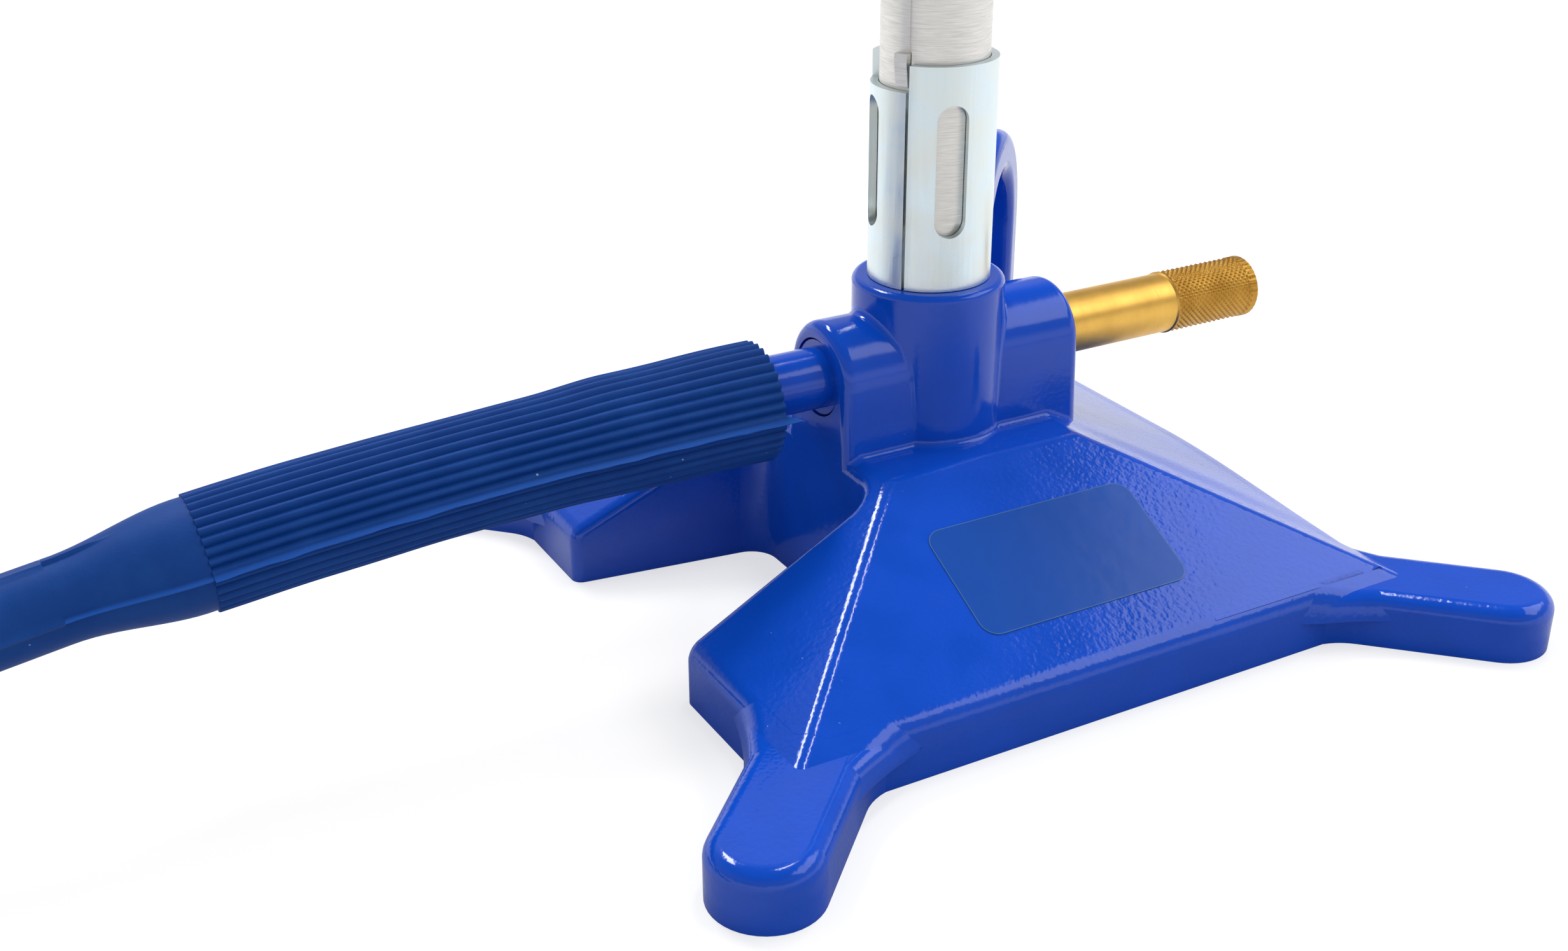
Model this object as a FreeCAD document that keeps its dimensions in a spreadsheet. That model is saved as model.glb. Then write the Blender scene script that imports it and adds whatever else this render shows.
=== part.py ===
"""Laboratory gas burner with a cast base, an air sleeve, a needle valve and a ribbed rubber hose.

Millimetres. X runs along the gas axis, from the hose (-X) to the valve knob (+X), Y runs from the
front of the base to its back, and Z is up. The origin lies on the table under the burner tube.
"""
import FreeCAD, Part
import math
import os
import re

import Sketcher

V = FreeCAD.Vector
doc = FreeCAD.newDocument("gas_burner")

# Driving dimensions: alias, value and meaning.
SIZES = [
    ("tube_od", 14.0, "burner tube outside diameter"),
    ("tube_wall", 0.6, "burner tube sheet thickness"),
    ("tube_top", 155.0, "height of the tube's mouth"),
    ("tube_floor", 36.0, "height of the tube's lower end in the collar"),
    ("tube_seam", 0.3, "width of the rolled tube's butt seam"),
    ("tube_seam_depth", 0.15, "depth of the butt seam"),
    ("hole_width", 2.9, "width of an air hole in the tube"),
    ("collar_od", 20.3, "outside diameter of the casting's collar"),
    ("collar_top", 43.6, "height of the collar"),
    ("collar_round", 0.9, "rounding of the collar's rim"),
    ("run_gap", 0.09, "radial clearance of pieces that turn or slide"),
    ("sleeve_wall", 1.04, "air sleeve sheet thickness"),
    ("sleeve_tall", 28.9, "height of the air sleeve"),
    ("sleeve_seam", 0.4, "open seam of the rolled sleeve"),
    ("slot_count", 4, "air slots round the sleeve"),
    ("slot_width", 4.15, "width of an air slot"),
    ("slot_length", 17.0, "length of an air slot and of an air hole"),
    ("slot_rise", 15.6, "middle of the slots above the sleeve's lower end"),
    ("slot_angle", -105.2, "bearing of the front slot, air closed"),
    ("seam_angle", -147.3, "bearing of the sleeve's seam, where the notch begins"),
    ("notch_angle", 79.7, "angle of the notch in the sleeve's rim"),
    ("notch_depth", 3.4, "depth of that notch"),
    ("air_turn", 60.0, "turn of the sleeve from closed to open"),
    ("tab_width", 1.8, "width of the stop tab pushed out of the tube"),
    ("tab_tall", 4.4, "height of the stop tab"),
    ("tab_reach", 0.95, "how far the tab stands out"),
    ("tab_gap", 0.3, "clearance between tab and notch"),
    ("wing_half", 45.0, "half the square that the base's walls make"),
    ("wall_top", 7.8, "height at which the walls would meet the panels without rounding"),
    ("wall_proud", 0.2, "how far the walls stand out beyond the feet's hollow roots"),
    ("base_wall", 3.0, "wall thickness of the hollow casting"),
    ("edge_round", 3.0, "rounding between walls and panels"),
    ("corner_round", 5.0, "rounding of the walls' corners, inside the feet"),
    ("roof_slope", 26.6, "slope of the base's panels"),
    ("roof_flat", 15.0, "half the flat square on top of the panels"),
    ("ridge_round", 2.6, "rounding of the ridges between panels"),
    ("gap_front", 14.6, "distance of the left gap's front wall from the gas axis, at its inner end"),
    ("gap_front_taper", 0.045, "widening of the left gap's front side per unit of length"),
    ("gap_back", 15.0, "distance of the left gap's back wall from the gas axis, at its inner end"),
    ("gap_back_taper", 0.125, "widening of the left gap's back side per unit of length"),
    ("gap_right", 19.0, "half width of the right gap at its inner end"),
    ("gap_right_taper", 0.24, "widening of the right gap per unit of length"),
    ("gap_edge", 1.6, "rounding of the gaps' edges"),
    ("gap_round", 4.0, "rounding of the side gaps' inner corners"),
    ("foot_width", 13.5, "width of a foot"),
    ("foot_tip", 84.0, "distance of a foot's tip from the tube's axis"),
    ("foot_top", 7.4, "height of a foot"),
    ("foot_edge", 2.2, "rounding of a foot's upper edge"),
    ("foot_root", 8.0, "rounding between a foot and the walls"),
    ("gas_level", 32.1, "height of the gas axis"),
    ("boss_round", 7.4, "radius of the inlet and valve bosses"),
    ("boss_left", 17.0, "length of the inlet boss from the tube's axis"),
    ("boss_right", 20.4, "length of the valve boss from the tube's axis"),
    ("boss_draft", 0.7, "widening of the bosses down to the panels"),
    ("boss_edge", 1.6, "rounding of the bosses' ends"),
    ("crease_round", 0.9, "hollow rounding where the collar, the bosses and the roof meet"),
    ("loop_near", 19.0, "distance of the finger loop from the tube's axis"),
    ("loop_far", 51.0, "distance of the loop's outer side"),
    ("loop_top", 53.6, "height of the finger loop"),
    ("loop_thick", 8.0, "thickness of the finger loop"),
    ("loop_limb", 6.4, "width of the loop's round limb"),
    ("loop_sill", 25.5, "height of the lower end of the loop's hole"),
    ("loop_edge", 1.9, "edge rounding of the loop"),
    ("nozzle_od", 8.15, "outside diameter of the inlet nozzle"),
    ("nozzle_bore", 5.0, "bore of the inlet nozzle"),
    ("nozzle_sunk", 7.0, "length of the nozzle pressed into its boss"),
    ("nozzle_out", 34.0, "length of the nozzle outside its boss"),
    ("flange_od", 10.0, "diameter of the nozzle's flange"),
    ("flange_thick", 1.4, "thickness of the nozzle's flange"),
    ("flange_sink_od", 10.6, "diameter of the recess for the flange"),
    ("flange_sink", 1.6, "depth of the recess for the flange"),
    ("barb_rise", 0.22, "height of a barb on the nozzle"),
    ("barb_pitch", 6.0, "distance from barb to barb"),
    ("passage_od", 5.0, "diameter of the gas passage"),
    ("passage_end", 2.2, "inner end of the valve's thread"),
    ("seat_length", 5.0, "length of the valve seat"),
    ("seat_bore", 2.2, "bore of the valve seat"),
    ("needle_od", 3.0, "diameter of the needle behind its cone"),
    ("needle_tip", 0.8, "diameter of the needle's tip"),
    ("needle_cone", 3.5, "length of the needle's cone"),
    ("needle_lap", 2.0, "length of the cone inside the seat when closed"),
    ("screw_od", 6.0, "diameter of the valve's thread"),
    ("screw_length", 5.0, "length of the valve's thread in the casting"),
    ("shank_od", 8.5, "diameter of the valve's smooth shank"),
    ("shoulder_gap", 0.8, "gap behind the shank's shoulder when closed"),
    ("knurl_od", 8.9, "diameter over the knurl"),
    ("knurl_start", 40.0, "distance of the knurl from the tube's axis"),
    ("knurl_end", 55.0, "distance of the knob's end from the tube's axis"),
    ("knob_round", 1.7, "rounding of the knob's end"),
    ("valve_travel", 2.4, "axial travel of the valve"),
    ("ring_cord", 1.0, "thickness of the sealing ring"),
    ("ring_place", 10.5, "distance of the sealing ring from the tube's axis"),
    ("ring_gap", 0.07, "clearance of the sealing ring in its groove"),
    ("pin_od", 2.0, "diameter of the retaining pin"),
    ("pin_length", 14.0, "length of the retaining pin"),
    ("pin_place", 17.2, "distance of the retaining pin from the tube's axis"),
    ("pin_above", 3.4, "height of the pin's upper end over the gas axis"),
    ("stop_depth", 1.1, "depth of the groove that the pin stands in"),
    ("jet_floor", 41.0, "height of the pedestal that carries the jet"),
    ("jet_gap", 0.1, "gap between pedestal and burner tube"),
    ("jet_thread", 5.9, "diameter of the jet's thread"),
    ("jet_depth", 5.4, "length of the jet's thread"),
    ("jet_hex", 8.0, "width across the flats of the jet"),
    ("jet_head", 3.4, "height of the jet's hexagon"),
    ("jet_cone", 4.2, "height of the jet's cone"),
    ("jet_tip", 3.2, "diameter of the jet's tip"),
    ("jet_bore", 2.6, "bore of the jet"),
    ("jet_hole", 1.0, "diameter of the jet's gas hole"),
    ("jet_roof", 1.2, "thickness over the jet's bore"),
    ("washer_od", 9.0, "outside diameter of the jet's washer"),
    ("washer_thick", 0.8, "thickness of the jet's washer"),
    ("hose_od", 10.0, "outside diameter of the hose"),
    ("hose_bore", 6.4, "bore of the hose"),
    ("hose_lift", 0.2, "gap between the resting hose and the table"),
    ("cuff_ribs", 34, "ribs round a cuff"),
    ("cuff_rib", 0.45, "height of a rib"),
    ("cuff_od", 14.2, "diameter over the ribs of a cuff"),
    ("cuff_swell", 15.8, "diameter of the cuff over the nozzle"),
    ("cuff_mouth", 8.8, "gap between the inlet boss and the cuff's mouth"),
    ("cuff_length", 72.2, "length of the ribbed part of a cuff"),
    ("cuff_cone", 15.6, "length of a cuff's plain cone"),
    ("cuff_sag", 1.5, "drop of the cuff's outside below the nozzle's axis"),
    ("cuff_gap", 0.05, "clearance of the cuff round the barbs"),
    ("cuff_socket", 30.0, "depth of the free cuff's socket"),
    ("hose_level", 7.0, "straight length of the hose at the near cuff's mouth"),
    ("hose_bend", 590.0, "radius of the hose's droop"),
    ("coil_wide", 58.0, "radius of the coil's outer half turns"),
    ("coil_step", 10.6, "distance from turn to turn of the coil"),
]
ALIASES = {alias for alias, value, note in SIZES}

sheet = doc.addObject("Spreadsheet::Sheet", "Sizes")
for row, (alias, value, note) in enumerate(SIZES, 1):
    sheet.set(f"A{row}", note)
    sheet.set(f"B{row}", str(value))
    sheet.setAlias(f"B{row}", alias)
notepad = doc.addObject("Spreadsheet::Sheet", "Notepad")
doc.recompute()


def size(alias):
    """Value of one cell of the sheet."""
    return float(sheet.get(alias))


def cells(formula):
    """Formula over aliases, written as an expression over the sheet."""
    return re.sub(
        r"[a-z][a-z_]+", lambda word: f"Sizes.{word[0]}" if word[0] in ALIASES else word[0], formula)


def bind(thing, **formulas):
    """Bind properties to the sheet. A double underscore stands for a dot in a property's path."""
    for path, formula in formulas.items():
        thing.setExpression(path.replace("__", "."), cells(formula))


TURN = {
    "z": FreeCAD.Rotation(),
    "x": FreeCAD.Rotation(V(0, 1, 0), 90),
    "-x": FreeCAD.Rotation(V(0, 1, 0), -90),
}


def primitive(kind, name, at=("0", "0", "0"), turn=TURN["z"], **formulas):
    """A Part primitive whose sizes and place follow the sheet."""
    thing = doc.addObject(kind, name)
    bind(thing, **formulas)
    thing.Placement = FreeCAD.Placement(V(), turn)
    x, y, z = at
    bind(thing, Placement__Base__x=x, Placement__Base__y=y, Placement__Base__z=z)
    return thing


def cylinder(name, radius, length, at=("0", "0", "0"), axis="z"):
    return primitive("Part::Cylinder", name, at, TURN[axis], Radius=radius, Height=length)


def box(name, at, length, width, height):
    return primitive("Part::Box", name, at, Length=length, Width=width, Height=height)


def frustum(name, low, high, half_low, half_high, depth_low, depth_high, turn):
    """Four-sided frustum along its own Y: half widths along X, and a range along Z, at both ends."""
    return primitive(
        "Part::Wedge", name, turn=turn, Ymin=low, Ymax=high,
        Xmin=f"-({half_low})", Xmax=half_low, X2min=f"-({half_high})", X2max=half_high,
        Zmin=depth_low[0], Zmax=depth_low[1], Z2min=depth_high[0], Z2max=depth_high[1])


def join(name, *things):
    fused = doc.addObject("Part::MultiFuse", name)
    fused.Shapes = list(things)
    fused.Refine = True
    return fused


def overlap(name, *things):
    common = doc.addObject("Part::MultiCommon", name)
    common.Shapes = list(things)
    return common


def subtract(name, base, *tools):
    for number, tool in enumerate(tools):
        cut = doc.addObject("Part::Cut", f"{name}_{number}")
        cut.Base = base
        cut.Tool = tool
        base = cut
    return base


def rounded(name, base, alias, wanted):
    """Round the edges of base for which wanted(edge, neighbouring faces) holds."""
    doc.recompute()
    shape = base.Shape
    picked = [
        number for number, edge in enumerate(shape.Edges, 1)
        if wanted(edge, shape.ancestorsOfType(edge, Part.Face))]
    fillet = doc.addObject("Part::Fillet", name)
    fillet.Base = base
    fillet.Edges = [(number, size(alias), size(alias)) for number in picked]
    return fillet


def upright(edge):
    low, high = edge.Vertexes[0].Point, edge.Vertexes[-1].Point
    return abs(low.z - high.z) > 0.5 and math.hypot(low.x - high.x, low.y - high.y) < 1e-4


def steepness(face):
    """Vertical part of a face's normal at its middle."""
    u_low, u_high, v_low, v_high = face.ParameterRange
    return face.normalAt((u_low + u_high) / 2, (v_low + v_high) / 2).z


def new_body(name):
    return doc.addObject("PartDesign::Body", name)


def new_sketch(body, name, role, turn=FreeCAD.Rotation(), lift=None):
    """Sketch on one of the body's own planes, turned about or lifted off that plane."""
    sketch = body.newObject("Sketcher::SketchObject", name)
    plane = next(item for item in body.Origin.OriginFeatures if item.Role == role)
    sketch.AttachmentSupport = (plane, "")
    sketch.MapMode = "FlatFace"
    sketch.AttachmentOffset = FreeCAD.Placement(V(), turn)
    if lift:
        bind(sketch, AttachmentOffset__Base__z=lift)
    return sketch


def place(sketch, geometry, position, x, y):
    """Hold one point of the sketch at formulas x and y."""
    for kind, formula, axis in (("DistanceX", x, -2), ("DistanceY", y, -1)):
        if formula == "0":
            sketch.addConstraint(Sketcher.Constraint("PointOnObject", geometry, position, axis))
            continue
        point = sketch.getPoint(geometry, position)
        value = point.x if kind == "DistanceX" else point.y
        index = sketch.addConstraint(Sketcher.Constraint(kind, -1, 1, geometry, position, value))
        sketch.setExpression(f"Constraints[{index}]", cells(formula))


def worth(formula):
    """Present value of a formula, to draw a sketch near its final shape."""
    notepad.set("A1", f"={cells(formula)}")
    notepad.recompute()
    return float(notepad.get("A1"))


def outline(sketch, corners):
    """Closed outline of straight lines through corners, each a pair of formulas."""
    points = [V(worth(x), worth(y), 0) for x, y in corners]
    count = len(points)
    for number in range(count):
        sketch.addGeometry(Part.LineSegment(points[number], points[(number + 1) % count]))
    for number in range(count):
        sketch.addConstraint(Sketcher.Constraint("Coincident", number, 2, (number + 1) % count, 1))
    for number, (x, y) in enumerate(corners):
        place(sketch, number, 1, x, y)


def circle(sketch, radius):
    number = sketch.addGeometry(Part.Circle(V(), V(0, 0, 1), worth(radius)))
    sketch.addConstraint(Sketcher.Constraint("Coincident", number, 3, -1, 1))
    index = sketch.addConstraint(Sketcher.Constraint("Radius", number, worth(radius)))
    sketch.setExpression(f"Constraints[{index}]", cells(radius))


def feature(body, kind, name, sketch, **formulas):
    """Pad, Pocket or Revolution of a sketch."""
    thing = body.newObject(f"PartDesign::{kind}", name)
    thing.Profile = sketch
    bind(thing, **formulas)
    sketch.Visibility = False
    return thing


def pocket(body, name, sketch, reverse=False, depth=None):
    """Pocket through everything on one side of its sketch, or to a depth. It must take material off."""
    doc.recompute()
    before = body.Shape.Volume
    thing = feature(body, "Pocket", name, sketch)
    if depth:
        bind(thing, Length=depth)
    else:
        thing.Type = "ThroughAll"
    thing.Reversed = reverse
    doc.recompute()
    if not body.Shape.Volume < before - 1e-6:
        raise RuntimeError(f"{name} cuts nothing")
    return thing


def turned(name, role, axis_name, profile):
    """Turned piece: a closed profile of formula pairs, revolved about an axis of its sketch."""
    body = new_body(name)
    sketch = new_sketch(body, f"{name}_profile", role)
    outline(sketch, profile)
    turn = feature(body, "Revolution", f"{name}_turn", sketch)
    turn.ReferenceAxis = (sketch, [axis_name])
    turn.Angle = 360.0
    return body


def ease(body, name, alias, wanted):
    """Round the edges of a body's last feature for which wanted(edge) holds."""
    doc.recompute()
    source = body.Tip
    picked = [f"Edge{number}" for number, edge in enumerate(source.Shape.Edges, 1) if wanted(edge)]
    fillet = body.newObject("PartDesign::Fillet", name)
    fillet.Base = (source, picked)
    bind(fillet, Radius=alias)
    return fillet


def along_gas_axis(body):
    """Lift a piece that was turned about X up to the gas axis."""
    bind(body, Placement__Base__z="gas_level")
    return body


def ring_of(body, source, name, count):
    """Repeat a feature round Z."""
    pattern = body.newObject("PartDesign::PolarPattern", name)
    pattern.Originals = [source]
    axis = next(item for item in body.Origin.OriginFeatures if item.Role == "Z_Axis")
    pattern.Axis = (axis, [""])
    pattern.Angle = 360.0
    bind(pattern, Occurrences=count)
    body.Tip = pattern
    return pattern


def slot_outline(sketch, width, length, middle):
    """Upright slot with round ends, centred on the sketch's vertical axis."""
    half, straight, level = worth(width) / 2, (worth(length) - worth(width)) / 2, worth(middle)
    top, low = V(0, level + straight, 0), V(0, level - straight, 0)
    up = V(0, 0, 1)
    sketch.addGeometry(Part.ArcOfCircle(Part.Circle(top, up, half), 0, math.pi))
    sketch.addGeometry(Part.LineSegment(top - V(half, 0, 0), low - V(half, 0, 0)))
    sketch.addGeometry(Part.ArcOfCircle(Part.Circle(low, up, half), math.pi, 2 * math.pi))
    sketch.addGeometry(Part.LineSegment(low + V(half, 0, 0), top + V(half, 0, 0)))
    for one, other, side in ((0, 1, 1), (1, 2, 1), (2, 3, 1), (3, 0, 1)):
        sketch.addConstraint(Sketcher.Constraint("Tangent", one, 2, other, side))
    place(sketch, 0, 3, "0", f"{middle} + ({length} - {width}) / 2")
    place(sketch, 2, 3, "0", f"{middle} - ({length} - {width}) / 2")
    index = sketch.addConstraint(Sketcher.Constraint("Radius", 0, half))
    sketch.setExpression(f"Constraints[{index}]", cells(f"{width} / 2"))


def about_z(degrees):
    """Turn of an upright sketch plane about Z."""
    return FreeCAD.Rotation(V(0, 1, 0), degrees)


# Base casting

SLOPE = "tan(roof_slope * 1 deg)"
ROOF_TOP = f"(wall_top + (wing_half - roof_flat) * {SLOPE})"
TILT_UP = FreeCAD.Rotation(V(1, 0, 0), 90)


def side_gap(name, inner_end, turn, spare, sides):
    """Gap between the front and back wings on one side, widened and shortened by spare."""
    start = f"({inner_end} - {spare})"
    stop = "(wing_half + 4)"
    (low_root, low_taper), (high_root, high_taper) = sides
    run = f"({stop} - {start})"
    return primitive(
        "Part::Wedge", name, turn=turn, Ymin=start, Ymax=stop,
        Xmin=f"0 - {low_root} - {spare}", X2min=f"0 - {low_root} - {spare} - {low_taper} * {run}",
        Xmax=f"{high_root} + {spare}", X2max=f"{high_root} + {spare} + {high_taper} * {run}",
        Zmin="-1", Z2min="-1", Zmax="gas_level", Z2max="gas_level")


def side_gaps(prefix, spare):
    """The gaps on both sides, with round inner corners."""
    quarter = FreeCAD.Rotation(V(0, 0, 1), 90)
    front, back = ("gap_front", "gap_front_taper"), ("gap_back", "gap_back_taper")
    wide = ("gap_right", "gap_right_taper")
    gaps = []
    for side, end, turn, walls in (
            ("left", "boss_left", quarter, (front, back)),
            ("right", "boss_right", quarter.inverted(), (wide, wide))):
        name = f"{prefix}_{side}"
        gap = side_gap(f"{name}_room", end, turn, spare, walls)
        gaps.append(rounded(name, gap, "gap_round", inner_corner))
    return gaps


def inner_corner(edge, faces):
    return upright(edge) and abs(edge.Vertexes[0].Point.x) < size("boss_right") + 0.1


def feet(prefix, spare):
    """Four round-ended feet along the diagonals, drawn in by spare."""
    made = []
    half = f"(foot_width / 2 - {spare})"
    reach = "(foot_tip - foot_width / 2)"
    for number in range(4):
        bearing = 45 + 90 * number
        turn = FreeCAD.Rotation(V(0, 0, 1), bearing)
        across = FreeCAD.Vector(math.sin(math.radians(bearing)), -math.cos(math.radians(bearing)), 0)
        along = FreeCAD.Vector(math.cos(math.radians(bearing)), math.sin(math.radians(bearing)), 0)
        corner = (f"{across.x} * {half}", f"{across.y} * {half}", "0")
        bar = primitive(
            "Part::Box", f"{prefix}_bar_{number}", corner, turn,
            Length=reach, Width=f"2 * {half}", Height=f"foot_top - {spare}")
        end = cylinder(
            f"{prefix}_end_{number}", half, f"foot_top - {spare}",
            (f"{along.x} * {reach}", f"{along.y} * {reach}", "0"))
        made += [bar, end]
    return made


def square(name, half, height):
    return box(name, (f"-({half})", f"-({half})", "0"), f"2 * ({half})", f"2 * ({half})", height)


def roof(name, drop, cut_half):
    """Hip roof over the base, lowered by drop and trimmed to a square."""
    top = f"({ROOF_TOP} - {drop})"
    foot = f"(roof_flat + {top} / {SLOPE})"
    hip = frustum(f"{name}_hip", "0", top, foot, "roof_flat",
                  (f"-{foot}", foot), ("-roof_flat", "roof_flat"), TILT_UP)
    return hip, square(f"{name}_trim", cut_half, top)


def skirt():
    """Feet with rounded upper edges and hollow roots, a little behind the walls."""
    half = "(wing_half - wall_proud)"
    plan = join("skirt_plan", square("skirt_square", half, "foot_top"), *feet("foot", "0"))
    open_plan = subtract("skirt_open", plan, *side_gaps("skirt_gap", "2 * gap_edge"))
    wall = worth(half)

    def foot_corner(edge, faces):
        point = edge.Vertexes[0].Point
        near_wall = max(abs(point.x), abs(point.y)) < wall + 0.01
        beside_foot = min(abs(point.x), abs(point.y)) > wall - size("foot_width")
        return upright(edge) and near_wall and beside_foot

    def outer_rim(edge, faces):
        low, high = edge.BoundBox.ZMin, edge.BoundBox.ZMax
        if low < size("foot_top") - 0.01 or high - low > 0.01:
            return False
        middle = edge.valueAt((edge.FirstParameter + edge.LastParameter) / 2)
        return max(abs(middle.x), abs(middle.y)) > wall - 0.05

    cornered = rounded("skirt_feet", open_plan, "foot_root", foot_corner)
    return rounded("skirt", cornered, "foot_edge", outer_rim)


def panels(gaps):
    """Walls and four sloping panels with round ridges and rims, open at the side gaps."""
    hip, square_walls = roof("roof", "0", "wing_half")
    ridged = rounded("roof_ridges", hip, "ridge_round", lambda edge, faces: edge.BoundBox.ZMax > 1)
    walls = rounded("roof_walls", square_walls, "corner_round", lambda edge, faces: upright(edge))

    def rim(edge, faces):
        standing = [abs(steepness(face)) < 1e-6 for face in faces]
        return edge.BoundBox.ZMin > 1 and sorted(standing) == [False, True]

    def gap_corner(edge, faces):
        point = edge.Vertexes[0].Point
        on_wall = abs(point.x) > size("wing_half") - 0.1
        return upright(edge) and on_wall and abs(point.y) < 2 * size("roof_flat")

    capped = rounded("roof_rims", overlap("roof_trimmed", ridged, walls), "edge_round", rim)
    return rounded("panels", subtract("roof_open", capped, *gaps), "gap_edge", gap_corner)


def hub():
    """Collar for the burner tube, between the inlet boss and the valve boss."""
    span = "boss_left + boss_right"
    barrel = cylinder("boss_barrel", "boss_round", span, ("-boss_left", "0", "gas_level"), "x")
    low = f"({ROOF_TOP} - 4)"
    flank = frustum(
        "boss_flank", low, "gas_level", "boss_round + boss_draft", "boss_round",
        ("-boss_left", "boss_right"), ("-boss_left", "boss_right"),
        FreeCAD.Rotation(V(0, 0, 1), 90).multiply(TILT_UP))
    bosses = join("bosses", barrel, flank)

    def boss_end(edge, faces):
        bounds = edge.BoundBox
        flat = bounds.XMax - bounds.XMin < 1e-4
        return flat and bounds.ZMax > size("gas_level") - 0.1

    eased = rounded("bosses_eased", bosses, "boss_edge", boss_end)
    collar = cylinder("collar", "collar_od / 2", f"collar_top - {low}", ("0", "0", low))
    rim = rounded("collar_rim", collar, "collar_round",
                  lambda edge, faces: edge.BoundBox.ZMin > size("collar_top") - 0.01)
    return eased, rim


def arch(name, near, far, low, top, thick):
    """Upright plate with a full round top, across the back right diagonal."""
    half = f"(({far} - {near}) / 2)"
    level = f"({top} - {half})"
    plate = box(f"{name}_plate", (near, f"-({thick}) / 2", low), f"2 * {half}", thick, f"{level} - {low}")
    crown = primitive(
        "Part::Cylinder", f"{name}_crown", (f"{near} + {half}", f"({thick}) / 2", level), TILT_UP,
        Radius=half, Height=thick)
    return join(name, plate, crown)


def finger_loop():
    """Arched loop on the back right ridge, for lifting the burner."""
    plate = arch("loop_outside", "loop_near", "loop_far", "foot_top / 2", "loop_top", "loop_thick")
    hole = arch("loop_hole", "(loop_near + loop_limb)", "(loop_far - loop_limb)", "loop_sill",
                "(loop_top - loop_limb)", "2 * loop_thick")
    ring = subtract("loop_ring", plate, hole)

    def face_edge(edge, faces):
        bounds = edge.BoundBox
        on_side = bounds.YMax - bounds.YMin < 1e-4
        return on_side and bounds.ZMax > size("foot_top") / 2 + 0.1

    eased = rounded("finger_loop", ring, "loop_edge", face_edge)
    eased.Placement = FreeCAD.Placement(V(), FreeCAD.Rotation(V(0, 0, 1), 45))
    return eased


def hollow():
    """Space under the casting, one wall thickness inside it."""
    roof_wall = "base_wall / cos(roof_slope * 1 deg)"
    hip, trim = roof("hollow", roof_wall, "wing_half - base_wall")
    room = subtract("hollow_room", overlap("hollow_cap", hip, trim), *side_gaps("hollow_gap", "base_wall"))
    inset = "(wing_half - base_wall)"
    plan = join("hollow_plan", square("hollow_square", inset, "foot_top - base_wall"),
                *feet("hollow_foot", "base_wall"))
    return join("hollow", room, subtract("hollow_ring", plan, *side_gaps("hollow_ring_gap", "base_wall")))


def gas_ways():
    """Bores for the nozzle, gas passage, valve, retaining pin, jet and burner tube."""
    level = "gas_level"
    return [
        cylinder("nozzle_hole", "nozzle_od / 2", "nozzle_sunk", ("-boss_left", "0", level), "x"),
        cylinder("flange_recess", "flange_sink_od / 2", "flange_sink", ("-boss_left", "0", level), "x"),
        cylinder("passage", "passage_od / 2", "boss_left - nozzle_sunk + passage_end",
                 ("nozzle_sunk - boss_left", "0", level), "x"),
        cylinder("screw_hole", "screw_od / 2 + run_gap", "screw_length + 0.1",
                 ("passage_end", "0", level), "x"),
        cylinder("shank_hole", "shank_od / 2 + run_gap", "boss_right - passage_end - screw_length",
                 ("passage_end + screw_length", "0", level), "x"),
        cylinder("pin_hole", "pin_od / 2", "gas_level + pin_above - 12", ("pin_place", PIN_SIDE, "12")),
        cylinder("jet_hole_way", "jet_thread / 2 + run_gap", "jet_floor - gas_level", ("0", "0", level)),
        cylinder("tube_way", "tube_od / 2", "collar_top - jet_floor", ("0", "0", "jet_floor")),
        subtract("tube_groove",
                 cylinder("tube_groove_outer", "tube_od / 2",
                          "jet_floor - tube_floor", ("0", "0", "tube_floor")),
                 cylinder("tube_groove_inner", "tube_od / 2 - tube_wall - jet_gap",
                          "jet_floor - tube_floor", ("0", "0", "tube_floor"))),
    ]


PIN_SIDE = "shank_od / 2 - stop_depth + run_gap + pin_od / 2"


def hub_crease(edge, faces):
    """Whether the collar meets a boss at an edge, or the collar or a boss meets the roof's flat."""
    bounds = edge.BoundBox
    level = bounds.ZMax - bounds.ZMin < 1e-4
    middle = edge.valueAt((edge.FirstParameter + edge.LastParameter) / 2)
    if level:
        on_roof = abs(bounds.ZMin - worth(ROOF_TOP)) < 1e-3
        return on_roof and abs(middle.y) < size("collar_od") / 2 + 1e-3
    beside_collar = math.hypot(middle.x, middle.y) < size("collar_od") / 2 + 1e-3
    return beside_collar and not upright(edge) and bounds.ZMax < size("collar_top") - size("collar_round")


def base_casting():
    gaps = side_gaps("gap", "0")
    sharp = join("casting_outside", skirt(), panels(gaps), *hub(), finger_loop())
    body = rounded("casting_eased", sharp, "crease_round", hub_crease)
    return subtract("base_casting", body, hollow(), *gas_ways())


# Gas inlet and valve

def inlet_nozzle():
    """Nozzle pressed into the inlet boss, with barbs where the hose is pushed on."""
    inner, outer = "nozzle_bore / 2", "nozzle_od / 2"
    seat = "(flange_sink - boss_left)"
    end = "(0 - boss_left - nozzle_out)"
    profile = [("nozzle_sunk - boss_left", inner), ("nozzle_sunk - boss_left", outer), (seat, outer),
               (seat, "flange_od / 2"), (f"{seat} - flange_thick", "flange_od / 2"),
               (f"{seat} - flange_thick", outer)]
    for number in (3, 2, 1):
        back = f"({end} + {number} * barb_pitch)"
        profile += [(back, outer), (back, f"{outer} + barb_rise"), (f"{back} - barb_pitch / 2", outer)]
    profile += [(f"{end} + 1", outer), (end, f"{outer} - 0.8"), (end, inner)]
    return along_gas_axis(turned("inlet_nozzle", "XZ_Plane", "H_Axis", profile))


SEAT_FACE = "(nozzle_sunk - boss_left + seat_length)"


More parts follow.
